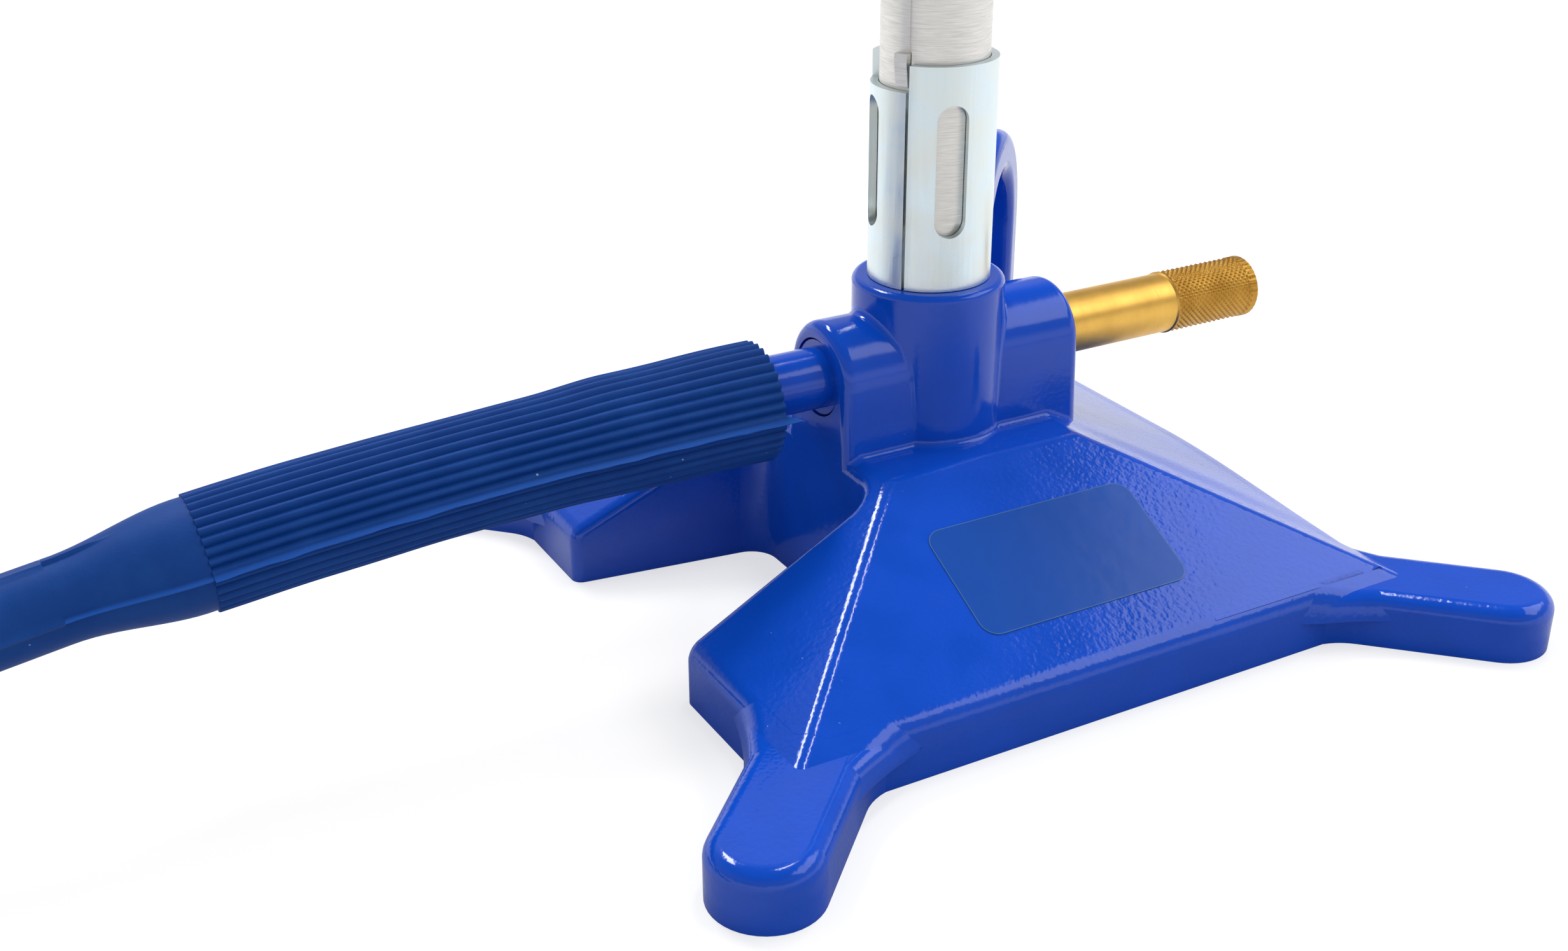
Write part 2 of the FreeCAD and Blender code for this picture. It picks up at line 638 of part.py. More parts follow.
def valve_seat():
    """Brass seat pressed into the gas passage."""
    start = "nozzle_sunk - boss_left"
    lead = "0.6"
    profile = [(start, "seat_bore / 2 + 0.6"), (start, "passage_od / 2"), (SEAT_FACE, "passage_od / 2"),
               (SEAT_FACE, "seat_bore / 2"), (f"{start} + {lead}", "seat_bore / 2")]
    return along_gas_axis(turned("valve_seat", "XZ_Plane", "H_Axis", profile))


def valve_spindle():
    """Needle, thread, shank with two grooves, and knurled knob, turned from one bar."""
    tip = f"({SEAT_FACE} - needle_lap)"
    shoulder = "(passage_end + screw_length + shoulder_gap)"
    thread = "(passage_end + shoulder_gap / 2)"
    shank = "shank_od / 2"
    ring_floor = f"({shank} - ring_cord - ring_gap)"
    ring_half = "(ring_cord / 2 + ring_gap)"
    stop_floor = f"({shank} - stop_depth)"
    stop_right = "(pin_place + pin_od / 2 + run_gap)"
    stop_left = f"({stop_right} - pin_od - 2 * run_gap - valve_travel)"
    profile = [
        (tip, "0"), (tip, "needle_tip / 2"), (f"{tip} + needle_cone", "needle_od / 2"),
        (thread, "needle_od / 2"), (thread, "screw_od / 2"), (shoulder, "screw_od / 2"),
        (shoulder, shank),
        (f"ring_place - {ring_half}", shank), (f"ring_place - {ring_half}", ring_floor),
        (f"ring_place + {ring_half}", ring_floor), (f"ring_place + {ring_half}", shank),
        (stop_left, shank), (stop_left, stop_floor), (stop_right, stop_floor), (stop_right, shank),
        ("knurl_start", shank), (f"knurl_start + knurl_od / 2 - {shank}", "knurl_od / 2"),
        ("knurl_end", "knurl_od / 2"), ("knurl_end", "0")]
    body = turned("valve_spindle", "XZ_Plane", "H_Axis", profile)
    ease(body, "knob_end", "knob_round", lambda edge: edge.BoundBox.XMin > size("knurl_end") - 0.01)
    return along_gas_axis(body)


def valve_o_ring():
    """Sealing ring in the shank's inner groove."""
    return primitive(
        "Part::Torus", "valve_o_ring", ("ring_place", "0", "gas_level"), TURN["x"],
        Radius1="shank_od / 2 - ring_cord / 2", Radius2="ring_cord / 2")


def valve_retaining_pin():
    """Pin pressed in from below, beside the shank, which keeps the valve from being screwed out."""
    return cylinder("valve_retaining_pin", "pin_od / 2", "pin_length",
                    ("pin_place", PIN_SIDE, "gas_level + pin_above - pin_length"))


# Gas jet

def jet_washer():
    outer = cylinder("washer_disc", "washer_od / 2", "washer_thick", ("0", "0", "jet_floor"))
    inner = cylinder("washer_hole", "jet_thread / 2 + run_gap", "washer_thick", ("0", "0", "jet_floor"))
    return subtract("jet_washer", outer, inner)


def gas_jet():
    """Brass jet: thread, hexagon and cone, bored from below to the gas hole."""
    seat = "(jet_floor + washer_thick)"
    start = "(jet_floor - jet_depth)"
    top = f"({seat} + jet_head + jet_cone)"
    thread = cylinder("jet_screw", "jet_thread / 2", f"{seat} - {start}", ("0", "0", start))
    hexagon = primitive("Part::Prism", "jet_hexagon", ("0", "0", seat),
                        Circumradius="jet_hex / 2 / cos(30 deg)", Height="jet_head")
    cone = primitive("Part::Cone", "jet_nose", ("0", "0", f"{seat} + jet_head"),
                     Radius1="jet_hex / 2 - 0.4", Radius2="jet_tip / 2", Height="jet_cone")
    bore = cylinder("jet_bore_way", "jet_bore / 2", f"{top} - jet_roof - {start}", ("0", "0", start))
    hole = cylinder("jet_gas_hole", "jet_hole / 2", f"{top} - {start}", ("0", "0", start))
    return subtract("gas_jet", join("jet_blank", thread, hexagon, cone), bore, hole)


# Burner tube and air sleeve

SLEEVE_FOOT = "(collar_top + run_gap)"
SLEEVE_BORE = "(tube_od / 2 + run_gap)"
SLOT_LEVEL = f"({SLEEVE_FOOT} + slot_rise)"


def radial_slit(sketch, inner, outer, width, bearing):
    """Thin rectangle from radius inner to radius outer on a bearing, in plan."""
    cosine, sine = f"cos({bearing} * 1 deg)", f"sin({bearing} * 1 deg)"
    corners = []
    for radius, side in ((inner, -0.5), (outer, -0.5), (outer, 0.5), (inner, 0.5)):
        corners.append((f"{radius} * {cosine} - {side} * {width} * {sine}",
                        f"{radius} * {sine} + {side} * {width} * {cosine}"))
    outline(sketch, corners)


def pipe_body(name, inner, outer, low, length):
    body = new_body(name)
    section = new_sketch(body, f"{name}_section", "XY_Plane", lift=low)
    circle(section, inner)
    circle(section, outer)
    feature(body, "Pad", f"{name}_wall", section, Length=length)
    return body


def burner_tube():
    """Rolled tube with a butt seam, air holes and a stop tab pushed out of its wall."""
    outer = "tube_od / 2"
    body = pipe_body("burner_tube", f"{outer} - tube_wall", outer, "tube_floor", "tube_top - tube_floor")
    seam = new_sketch(body, "tube_seam_line", "XY_Plane", lift="tube_top")
    radial_slit(seam, f"({outer} - tube_seam_depth)", f"({outer} + 1)", "tube_seam", "(seam_angle - 1.7)")
    pocket(body, "tube_seam_cut", seam)
    tab_bearing = size("seam_angle") - math.degrees(
        (size("tab_width") / 2 + size("tab_gap")) / (size("tube_od") / 2 + size("sleeve_wall")))
    foot = f"({SLEEVE_FOOT} + sleeve_tall - notch_depth + tab_gap)"
    tab = new_sketch(body, "tab_side", "XZ_Plane", about_z(tab_bearing))
    root = f"({outer} - tube_wall / 2)"
    outline(tab, [(root, foot), (f"{outer} + tab_reach * 0.55", f"{foot} + 0.3"),
                  (f"{outer} + tab_reach", f"{foot} + tab_tall * 0.75"),
                  (f"{outer} + tab_reach", f"{foot} + tab_tall"), (root, f"{foot} + tab_tall")])
    feature(body, "Pad", "tab", tab, Length="tab_width").Midplane = True
    bearing = size("slot_angle") + size("air_turn")
    hole = new_sketch(body, "air_hole_outline", "XZ_Plane", about_z(bearing + 90))
    slot_outline(hole, "hole_width", "slot_length", SLOT_LEVEL)
    first = pocket(body, "air_hole", hole, reverse=True)
    ring_of(body, first, "air_holes", "slot_count")
    return body


def air_sleeve():
    """Rolled sleeve that covers or frees the air holes. Its notch runs against the tube's tab."""
    body = pipe_body("air_sleeve", SLEEVE_BORE, f"{SLEEVE_BORE} + sleeve_wall", SLEEVE_FOOT, "sleeve_tall")
    rim = f"({SLEEVE_FOOT} + sleeve_tall)"
    far = f"({SLEEVE_BORE} * 2)"
    seam = new_sketch(body, "sleeve_seam_line", "XY_Plane", lift=rim)
    radial_slit(seam, "(tube_od / 4)", far, "sleeve_seam", "seam_angle")
    pocket(body, "sleeve_seam_cut", seam)
    notch = new_sketch(body, "notch_sector", "XY_Plane", lift=rim)
    sector = [("0", "0")]
    for share in (0, 0.5, 1):
        bearing = f"((seam_angle - {share} * notch_angle) * 1 deg)"
        sector.append((f"{far} * cos({bearing})", f"{far} * sin({bearing})"))
    outline(notch, sector)
    pocket(body, "notch", notch, depth="notch_depth")
    slot = new_sketch(body, "air_slot_outline", "XZ_Plane", about_z(size("slot_angle") + 90))
    slot_outline(slot, "slot_width", "slot_length", SLOT_LEVEL)
    first = pocket(body, "air_slot", slot, reverse=True)
    ring_of(body, first, "air_slots", "slot_count")
    return body


# Hose

def shaped(name, shape):
    thing = doc.addObject("Part::Feature", name)
    thing.Shape = shape
    return thing


def frame_at(centre, heading):
    """Axes of a section: sideways and up, square to the heading."""
    ahead = V(heading).normalize()
    side = V(0, 0, 1).cross(ahead).normalize()
    return side, ahead.cross(side)


def ring_wire(centre, heading, radius):
    return Part.Wire(Part.Circle(centre, V(heading), radius).toShape())


def ribbed_wire(centre, heading, radius):
    """Section of a cuff: one outward arc for each rib."""
    side, up = frame_at(centre, heading)
    count = int(size("cuff_ribs"))
    valley = radius - size("cuff_rib")

    def point(share, reach):
        angle = 2 * math.pi * share / count
        return centre + side * (reach * math.cos(angle)) + up * (reach * math.sin(angle))

    arcs = [
        Part.Arc(point(number, valley), point(number + 0.5, radius), point(number + 1, valley)).toShape()
        for number in range(count)]
    return Part.Wire(arcs)


def loft(wires):
    return Part.makeLoft(wires, True, True)


def cuff(stations, sockets):
    """Ribbed cuff with a plain cone. Stations are (centre, heading, outer radius), mouth first."""
    ribbed = loft([ribbed_wire(*station) for station in stations[:-1]])
    centre, heading, radius = stations[-2]
    cone = loft([ring_wire(centre, heading, radius - size("cuff_rib") * 0.6), ring_wire(*stations[-1])])
    bore = loft([ring_wire(*socket) for socket in sockets])
    return ribbed.fuse(cone).cut(bore)


LEFT = V(-1, 0, 0)


def droop(distance):
    """Centre and heading of the hose's axis at a distance from the near cuff's mouth."""
    straight = size("hose_level")
    start = V(-size("boss_left") - size("cuff_mouth"), 0, size("gas_level") - size("cuff_sag"))
    if distance <= straight:
        return start + LEFT * distance, LEFT
    angle = (distance - straight) / size("hose_bend")
    bend = size("hose_bend")
    centre = start + LEFT * (straight + bend * math.sin(angle)) - V(0, 0, bend * (1 - math.cos(angle)))
    return centre, V(-math.cos(angle), 0, -math.sin(angle))


def hose_cuff_near():
    """Cuff pushed on the nozzle. It swells over the nozzle and droops behind it."""
    grip = size("nozzle_out") - size("cuff_mouth")
    ribs, cone = size("cuff_length"), size("cuff_cone")
    slim, wide = size("cuff_od") / 2, size("cuff_swell") / 2
    radii = [(0, wide), (0.8 * grip, wide - 0.3), (1.2 * grip, slim + 0.1), (0.6 * ribs + 6, slim),
             (ribs, slim), (ribs + cone, size("hose_od") / 2)]
    stations = [(*droop(distance), radius) for distance, radius in radii]
    mouth = V(-size("boss_left") - size("cuff_mouth"), 0, size("gas_level"))
    socket = size("nozzle_od") / 2 + size("barb_rise") + size("cuff_gap")
    bore = size("hose_bore") / 2
    sockets = [(mouth, LEFT, socket), (mouth + LEFT * (grip + 0.5), LEFT, socket)]
    sockets += [(*droop(distance), bore) for distance in (grip + 4, 0.6 * ribs + 6, ribs, ribs + cone)]
    return shaped("hose_cuff_near", cuff(stations, sockets))


def rest_height():
    return size("hose_od") / 2 + size("hose_lift")


COIL_PLACE = -305.0
COIL_SIDE = -54.0


def rounded_route(points):
    """Straight runs joined by arcs as large as their runs allow, and the arcs' radii."""
    edges, radii, start = [], [], points[0]
    for before, corner, after in zip(points, points[1:], points[2:]):
        into, out = (corner - before), (after - corner)
        turn = into.getAngle(out)
        trim = 0.45 * min(into.Length, out.Length)
        radii.append(trim / math.tan(turn / 2))
        first = corner - V(into).normalize() * trim
        last = corner + V(out).normalize() * trim
        bisector = (first + last) / 2 - corner
        inset = radii[-1] / math.cos(turn / 2) - radii[-1]
        middle = corner + V(bisector).normalize() * inset
        edges += [Part.LineSegment(start, first).toShape(), Part.Arc(first, middle, last).toShape()]
        start = last
    edges.append(Part.LineSegment(start, points[-1]).toShape())
    return Part.Wire(edges), radii


def hose_along(name, wire):
    """Hollow hose along a wire, with its volume compared with its section times its length."""
    start = wire.Edges[0].valueAt(wire.Edges[0].FirstParameter)
    heading = wire.Edges[0].tangentAt(wire.Edges[0].FirstParameter)
    outer, inner = size("hose_od") / 2, size("hose_bore") / 2
    swept = [
        wire.makePipeShell([ring_wire(start, heading, radius)], True, False) for radius in (outer, inner)]
    shape = swept[0].cut(swept[1])
    expected = math.pi * (outer ** 2 - inner ** 2) * wire.Length
    print(f"{name}: length {wire.Length:.1f}, volume / expected {shape.Volume / expected:.4f}")
    return shaped(name, shape)


def near_route():
    """Free hose from the near cuff down to the table, as far as the coil."""
    start, heading = droop(size("cuff_length") + size("cuff_cone"))
    level = rest_height()
    second = start + heading * 62.0
    beside_coil = V(COIL_PLACE + 55.0, COIL_SIDE, level)
    return [start, second, beside_coil, V(COIL_PLACE + size("hose_od"), COIL_SIDE, level)]


def coil_wire():
    """Three half turns, the middle one climbing from the lower layer to the upper one."""
    wide, step, level = size("coil_wide"), size("coil_step"), rest_height()
    lead = V(size("hose_od"), 0, 0)
    upper = level + step
    entry = V(COIL_PLACE, COIL_SIDE, level)
    back = entry + V(0, 2 * wide, 0)
    front = V(COIL_PLACE, COIL_SIDE + step, upper)
    leave = front + V(0, 2 * wide, 0)

    def half_turn(begin, end, bulge):
        middle = (begin + end) / 2
        return Part.Arc(begin, middle + bulge * ((end - begin).Length / 2), end).toShape()

    right = V(1, 0, 0)
    return Part.Wire([
        Part.LineSegment(entry + lead, entry).toShape(), half_turn(entry, back, LEFT),
        half_turn(back, front, right), half_turn(front, leave, LEFT),
        Part.LineSegment(leave, leave + lead).toShape()])


def least_gap(wire):
    """Least gap of a wound hose to itself, measured on points of its axis."""
    points = wire.discretize(Number=400)
    step = wire.Length / 399
    skip = int(2.0 * size("hose_od") / step)
    return min(
        points[one].distanceToPoint(points[other])
        for one in range(len(points)) for other in range(one + skip, len(points))) - size("hose_od")


def far_route():
    """Free hose from the coil's upper layer down to the far cuff."""
    start = coil_wire().Edges[-1].valueAt(coil_wire().Edges[-1].LastParameter)
    level = size("cuff_od") / 2 + size("hose_lift")
    drop = V(start.x + 24.0, start.y, start.z - 0.6)
    return [start, drop, V(start.x + 56.0, start.y, level), V(start.x + 80.0, start.y, level)]


def hose_cuff_far():
    """Cuff for the gas tap, lying on the table."""
    start = far_route()[-1]
    right = V(1, 0, 0)
    slim, bore = size("cuff_od") / 2, size("hose_bore") / 2
    ribs, cone, depth = size("cuff_length"), size("cuff_cone"), size("cuff_socket")
    socket = size("nozzle_od") / 2 - size("cuff_gap")
    mouth = start + right * (ribs + cone)

    def station(distance, radius):
        return mouth - right * distance, LEFT, radius

    stations = [station(0, slim), station(ribs, slim), station(ribs + cone, size("hose_od") / 2)]
    sockets = [
        station(0, socket), station(depth, socket), station(depth + 4, bore), station(ribs + cone, bore)]
    return shaped("hose_cuff_far", cuff(stations, sockets))


def hose():
    made = [hose_cuff_near()]
    for name, route in (("hose_tube", near_route()), ("hose_tail", far_route())):
        wire, radii = rounded_route(route)
        print(f"{name}: bend radii {[round(radius, 1) for radius in radii]}")
        made.append(hose_along(name, wire))
    coil = coil_wire()
    print(f"hose_coil: least gap to itself {least_gap(coil):.2f}")
    made.append(hose_along("hose_coil", coil))
    made.append(hose_cuff_far())
    return made


def named(label, thing):
    thing.Label = label
    return label, thing


def main():
    pieces = dict([
        named("base_casting", base_casting()),
        named("inlet_nozzle", inlet_nozzle()),
        named("valve_seat", valve_seat()),
        named("valve_spindle", valve_spindle()),
        named("valve_o_ring", valve_o_ring()),
        named("valve_retaining_pin", valve_retaining_pin()),
        named("jet_washer", jet_washer()),
        named("gas_jet", gas_jet()),
        named("burner_tube", burner_tube()),
        named("air_sleeve", air_sleeve()),
    ])
    for thing in hose():
        pieces[thing.Label] = thing
    doc.recompute()
    failed = [thing.Name for thing in doc.Objects if {"Invalid", "Error"} & set(thing.State)]
    for label, thing in pieces.items():
        shape = thing.Shape
        if shape.isNull() or not shape.isValid() or len(shape.Solids) != 1:
            failed.append(f"{label} shape ({len(shape.Solids)} solids)")
    if failed:
        raise RuntimeError(f"failed: {failed}")
    os.makedirs("parts", exist_ok=True)
    for label, thing in pieces.items():
        thing.Shape.exportStep(f"parts/{label}.step")
    print(f"{len(pieces)} pieces written")


main()
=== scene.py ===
"""Looks of a laboratory gas burner: enamelled casting, plated sleeve, brass valve and ribbed hose."""
import math

import bmesh
import bpy
from mathutils import Matrix, Vector, noise


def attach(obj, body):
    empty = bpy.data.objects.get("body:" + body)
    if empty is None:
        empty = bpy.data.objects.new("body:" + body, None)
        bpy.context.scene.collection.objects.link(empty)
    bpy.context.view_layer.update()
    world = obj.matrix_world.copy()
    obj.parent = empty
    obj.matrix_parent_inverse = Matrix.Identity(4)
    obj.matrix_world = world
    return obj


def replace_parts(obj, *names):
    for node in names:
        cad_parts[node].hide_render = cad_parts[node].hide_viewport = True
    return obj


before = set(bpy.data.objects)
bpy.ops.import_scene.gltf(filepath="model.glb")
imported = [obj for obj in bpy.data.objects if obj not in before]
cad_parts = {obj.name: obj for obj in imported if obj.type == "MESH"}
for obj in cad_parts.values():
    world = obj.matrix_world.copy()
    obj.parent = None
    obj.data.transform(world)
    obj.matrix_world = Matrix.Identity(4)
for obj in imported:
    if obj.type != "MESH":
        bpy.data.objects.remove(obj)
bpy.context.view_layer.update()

bl_info = {
    "name": "Gas burner",
    "version": (1, 0, 0),
    "blender": (4, 5, 0),
    "location": "3D View > Sidebar > Burner",
    "description": "Finishes a laboratory gas burner and sets it on a pale table",
    "category": "Object",
}

MM = 0.001
GAS_LEVEL = 32.1 * MM


def linear(code):
    """Linear colour of an sRGB hex value."""
    channels = [int(code[place:place + 2], 16) / 255 for place in (1, 3, 5)]
    return tuple(c / 12.92 if c <= 0.04045 else ((c + 0.055) / 1.055) ** 2.4 for c in channels)


def colour(name, description, code):
    return bpy.props.FloatVectorProperty(
        name=name, description=description, default=linear(code), size=3, min=0, max=1, subtype="COLOR")


def length(name, description, millimetres):
    return bpy.props.FloatProperty(
        name=name, description=description, default=millimetres * MM, min=0, subtype="DISTANCE", unit="LENGTH")


class BurnerColours(bpy.types.PropertyGroup):
    enamel: colour("Enamel", "Gloss enamel of the casting", "#0B4CC6")
    enamel_shade: colour("Enamel, thin", "Enamel where it ran thin on the casting", "#0B4AC0")
    label: colour("Label", "Face of the bare label", "#0F4AA6")
    label_edge: colour("Label edge", "Cut edge of the label", "#40699F")
    zinc: colour("Zinc", "Blue-white zinc plating", "#DBE9EF")
    zinc_pale: colour("Zinc, pale", "Duller patches of the plating", "#E4EBE8")
    tube: colour("Tube", "Brushed metal of the burner tube", "#E8E6E2")
    tube_dark: colour("Tube, brush marks", "Darker brush marks on the tube", "#CDCBC7")
    brass: colour("Brass", "Turned brass", "#F2C162")
    brass_dark: colour("Brass, aged", "Tarnished brass", "#B07E30")
    rubber: colour("Rubber", "Blue rubber of the hose", "#0B3F8B")
    rubber_bloom: colour("Rubber, bloom", "Dusty bloom on the rubber", "#184B98")
    table: colour("Table", "Table top under the burner", "#F4F4F4")


class BurnerSizes(bpy.types.PropertyGroup):
    label_width: length("Label width", "Width of the label", 31.4)
    label_height: length("Label height", "Height of the label along the slope", 16.6)
    label_thick: length("Label thickness", "Thickness of the label", 0.16)
    label_corner: length("Label corner", "Corner radius of the label", 2.3)
    label_x: length("Label place", "Distance of the label's middle from the tube, to the right", 0.6)
    label_y: length("Label reach", "Distance of the label's middle from the tube, to the front", 30.45)
    knurl_depth: length("Knurl depth", "Depth of the knurl's grooves", 0.28)
    knurl_count: bpy.props.IntProperty(
        name="Knurl grooves", description="Grooves of each hand round the knob", default=32, min=8, max=60)
    rib_count: bpy.props.IntProperty(
        name="Cuff ribs", description="Ribs round a hose cuff", default=34, min=8, max=80)
    rib_height: length("Rib height", "Height of a cuff's rib", 0.62)
    hose_radius: length("Hose radius", "Outside radius of the hose", 5.0)
    flash_height: length("Flash height", "Height of the moulding flash on the hose", 0.95)


def colours():
    return bpy.context.scene.burner_colours


def sizes():
    return bpy.context.scene.burner_sizes


def rgba(value):
    return (*value, 1.0)


# Materials

def add(tree, kind, inputs=None, **settings):
    """Add a node. Inputs maps a socket to a value or to another node's output."""
    made = tree.nodes.new(kind)
    for name, value in settings.items():
        setattr(made, name, value)
    for socket, value in (inputs or {}).items():
        if isinstance(value, bpy.types.NodeSocket):
            tree.links.new(value, made.inputs[socket])
        else:
            made.inputs[socket].default_value = value
    return made


def new_material(name):
    """Material, its empty node tree, and a socket with places on the object."""
    material = bpy.data.materials.new(name)
    material.use_nodes = True
    tree = material.node_tree
    tree.nodes.clear()
    return material, tree, add(tree, "ShaderNodeTexCoord").outputs["Object"]


def finish_material(material, shader):
    add(material.node_tree, "ShaderNodeOutputMaterial", {"Surface": shader.outputs[0]})
    return material


def per(millimetres):
    """Texture scale for features of that size."""
    return 1 / (millimetres * MM)


def gloss_enamel():
    """Gloss stoving enamel over a sand casting: orange peel, dust nibs and faint waves under the gloss."""
    material, tree, place = new_material("gloss_enamel")
    peel = add(tree, "ShaderNodeTexNoise", {"Vector": place, "Scale": per(0.7), "Detail": 1.0})
    waves = add(tree, "ShaderNodeTexNoise", {"Vector": place, "Scale": per(6.0), "Detail": 1.0})
    nib_cells = add(tree, "ShaderNodeTexVoronoi", {"Vector": place, "Scale": per(2.6)})
    nib_size = add(tree, "ShaderNodeMath", {0: nib_cells.outputs["Color"], 1: 0.09}, operation="MULTIPLY")
    nibs = add(tree, "ShaderNodeMapRange", {
        "Value": nib_cells.outputs["Distance"], "From Max": nib_size.outputs[0], "To Min": 1.0, "To Max": 0.0},
        interpolation_type="SMOOTHSTEP")
    tone = add(tree, "ShaderNodeMapRange", {"Value": waves.outputs["Fac"], "From Min": 0.35, "From Max": 0.65})
    base = add(tree, "ShaderNodeMix", {
        "Factor": tone.outputs[0], "A": rgba(colours().enamel_shade), "B": rgba(colours().enamel)}, data_type="RGBA")
    dull = add(tree, "ShaderNodeMapRange", {"Value": waves.outputs["Fac"], "To Min": 0.09, "To Max": 0.16})
    # The coat is thick on the base and thin on the hub, where the peel fades.
    height = add(tree, "ShaderNodeSeparateXYZ", {0: place})
    thick = add(tree, "ShaderNodeMapRange", {
        "Value": height.outputs["Z"], "From Min": 22 * MM, "From Max": 27 * MM, "To Min": 1.0, "To Max": 0.3})
    pebbles = add(tree, "ShaderNodeMath", {0: peel.outputs["Fac"], 1: thick.outputs[0]}, operation="MULTIPLY")
    swell = add(tree, "ShaderNodeBump", {"Distance": 0.03 * MM, "Height": waves.outputs["Fac"]})
    skin = add(tree, "ShaderNodeBump", {
        "Distance": 0.03 * MM, "Height": pebbles.outputs[0], "Normal": swell.outputs[0]})
    dust = add(tree, "ShaderNodeBump", {
        "Strength": 0.6, "Distance": 0.05 * MM, "Height": nibs.outputs[0], "Normal": skin.outputs[0]})
    shader = add(tree, "ShaderNodeBsdfPrincipled", {
        "Base Color": base.outputs[2], "Roughness": dull.outputs[0], "IOR": 1.5, "Specular IOR Level": 0.42,
        "Normal": dust.outputs[0]})
    return finish_material(material, shader)


def enamelled_nozzle():
    """The same enamel, brushed over the nozzle, with specks of bare brass at the edge of its flange."""
    material = gloss_enamel()
    material.name = "gloss_enamel_over_brass"
    tree = material.node_tree
    shader = next(item for item in tree.nodes if item.type == "BSDF_PRINCIPLED")
    place = add(tree, "ShaderNodeTexCoord").outputs["Object"]
    centred = add(tree, "ShaderNodeVectorMath", {0: place, 1: (0, 0, -GAS_LEVEL)}, operation="ADD")
    square = add(tree, "ShaderNodeVectorMath", {0: centred.outputs[0], 1: (0, 1, 1)}, operation="MULTIPLY")
    reach = add(tree, "ShaderNodeVectorMath", {0: square.outputs[0]}, operation="LENGTH")
    ragged = add(tree, "ShaderNodeTexNoise", {"Vector": place, "Scale": per(0.9), "Detail": 2.0})
    edge = add(tree, "ShaderNodeMath", {0: ragged.outputs["Fac"], 1: 0.9 * MM, 2: reach.outputs["Value"]},
               operation="MULTIPLY_ADD")
    bare = add(tree, "ShaderNodeMapRange", {"Value": edge.outputs[0], "From Min": 5.92 * MM, "From Max": 6.06 * MM})
    paint = shader.inputs["Base Color"].links[0].from_socket
    mixed = add(tree, "ShaderNodeMix", {"Factor": bare.outputs[0], "A": paint, "B": rgba(colours().brass_dark)},
                data_type="RGBA")
    tree.links.new(mixed.outputs[2], shader.inputs["Base Color"])
    tree.links.new(bare.outputs[0], shader.inputs["Metallic"])
    return material


def bright_zinc():
    """Blue-passivated zinc on rolled strip: pale, satin, cloudy, with a few handling marks."""
    material, tree, place = new_material("bright_zinc_plate")
    clouds = add(tree, "ShaderNodeTexNoise", {"Vector": place, "Scale": per(4.5), "Detail": 4.0, "Roughness": 0.6})
    grain = add(tree, "ShaderNodeTexNoise", {"Vector": place, "Scale": per(0.25), "Detail": 2.0})
    upright = add(tree, "ShaderNodeMapping", {"Vector": place, "Scale": (per(0.5), per(0.5), per(9.0))})
    streaks = add(tree, "ShaderNodeTexNoise", {"Vector": upright.outputs[0], "Scale": 1.0, "Detail": 3.0})
    tone = add(tree, "ShaderNodeMapRange", {"Value": clouds.outputs["Fac"], "From Min": 0.38, "From Max": 0.66})
    base = add(tree, "ShaderNodeMix", {
        "Factor": tone.outputs[0], "A": rgba(colours().zinc), "B": rgba(colours().zinc_pale)}, data_type="RGBA")
    mixed = add(tree, "ShaderNodeMath", {0: streaks.outputs["Fac"], 1: 0.5, 2: clouds.outputs["Fac"]},
                operation="MULTIPLY_ADD")
    dull = add(tree, "ShaderNodeMapRange", {
        "Value": mixed.outputs[0], "From Min": 0.5, "From Max": 1.0, "To Min": 0.26, "To Max": 0.42})
    skin = add(tree, "ShaderNodeBump", {"Strength": 0.25, "Distance": 0.04 * MM, "Height": grain.outputs["Fac"]})
    rolled = add(tree, "ShaderNodeBump", {
        "Strength": 0.3, "Distance": 0.08 * MM, "Height": streaks.outputs["Fac"], "Normal": skin.outputs[0]})
    shader = add(tree, "ShaderNodeBsdfPrincipled", {
        "Base Color": base.outputs[2], "Metallic": 1.0, "Roughness": dull.outputs[0], "Normal": rolled.outputs[0]})
    return finish_material(material, shader)


def brushed_tube():
    """Drawn tube brushed on a lathe: fine rings round it, and a few scratches along it."""
    material, tree, place = new_material("brushed_tube")
    # The brush marks are drawn at 0.12 mm, coarser than the real ones, so that they show.
    round_it = add(tree, "ShaderNodeMapping", {"Vector": place, "Scale": (per(3.0), per(3.0), per(0.12))})
    rings = add(tree, "ShaderNodeTexNoise", {
        "Vector": round_it.outputs[0], "Scale": 1.0, "Detail": 3.0, "Roughness": 0.65})
    along_it = add(tree, "ShaderNodeMapping", {"Vector": place, "Scale": (per(0.35), per(0.35), per(22.0))})
    scratches = add(tree, "ShaderNodeTexNoise", {"Vector": along_it.outputs[0], "Scale": 1.0, "Detail": 2.0})
    tone = add(tree, "ShaderNodeMapRange", {"Value": rings.outputs["Fac"], "From Min": 0.25, "From Max": 0.65})
    base = add(tree, "ShaderNodeMix", {
        "Factor": tone.outputs[0], "A": rgba(colours().tube_dark), "B": rgba(colours().tube)}, data_type="RGBA")
    dull = add(tree, "ShaderNodeMapRange", {
        "Value": rings.outputs["Fac"], "From Min": 0.3, "From Max": 0.7, "To Min": 0.4, "To Max": 0.34})
    brushed = add(tree, "ShaderNodeBump", {"Strength": 0.15, "Distance": 0.03 * MM, "Height": rings.outputs["Fac"]})
    scored = add(tree, "ShaderNodeBump", {
        "Strength": 0.15, "Distance": 0.05 * MM, "Height": scratches.outputs["Fac"], "Normal": brushed.outputs[0]})
    shader = add(tree, "ShaderNodeBsdfPrincipled", {
        "Base Color": base.outputs[2], "Metallic": 1.0, "Roughness": dull.outputs[0], "Normal": scored.outputs[0]})
    return finish_material(material, shader)


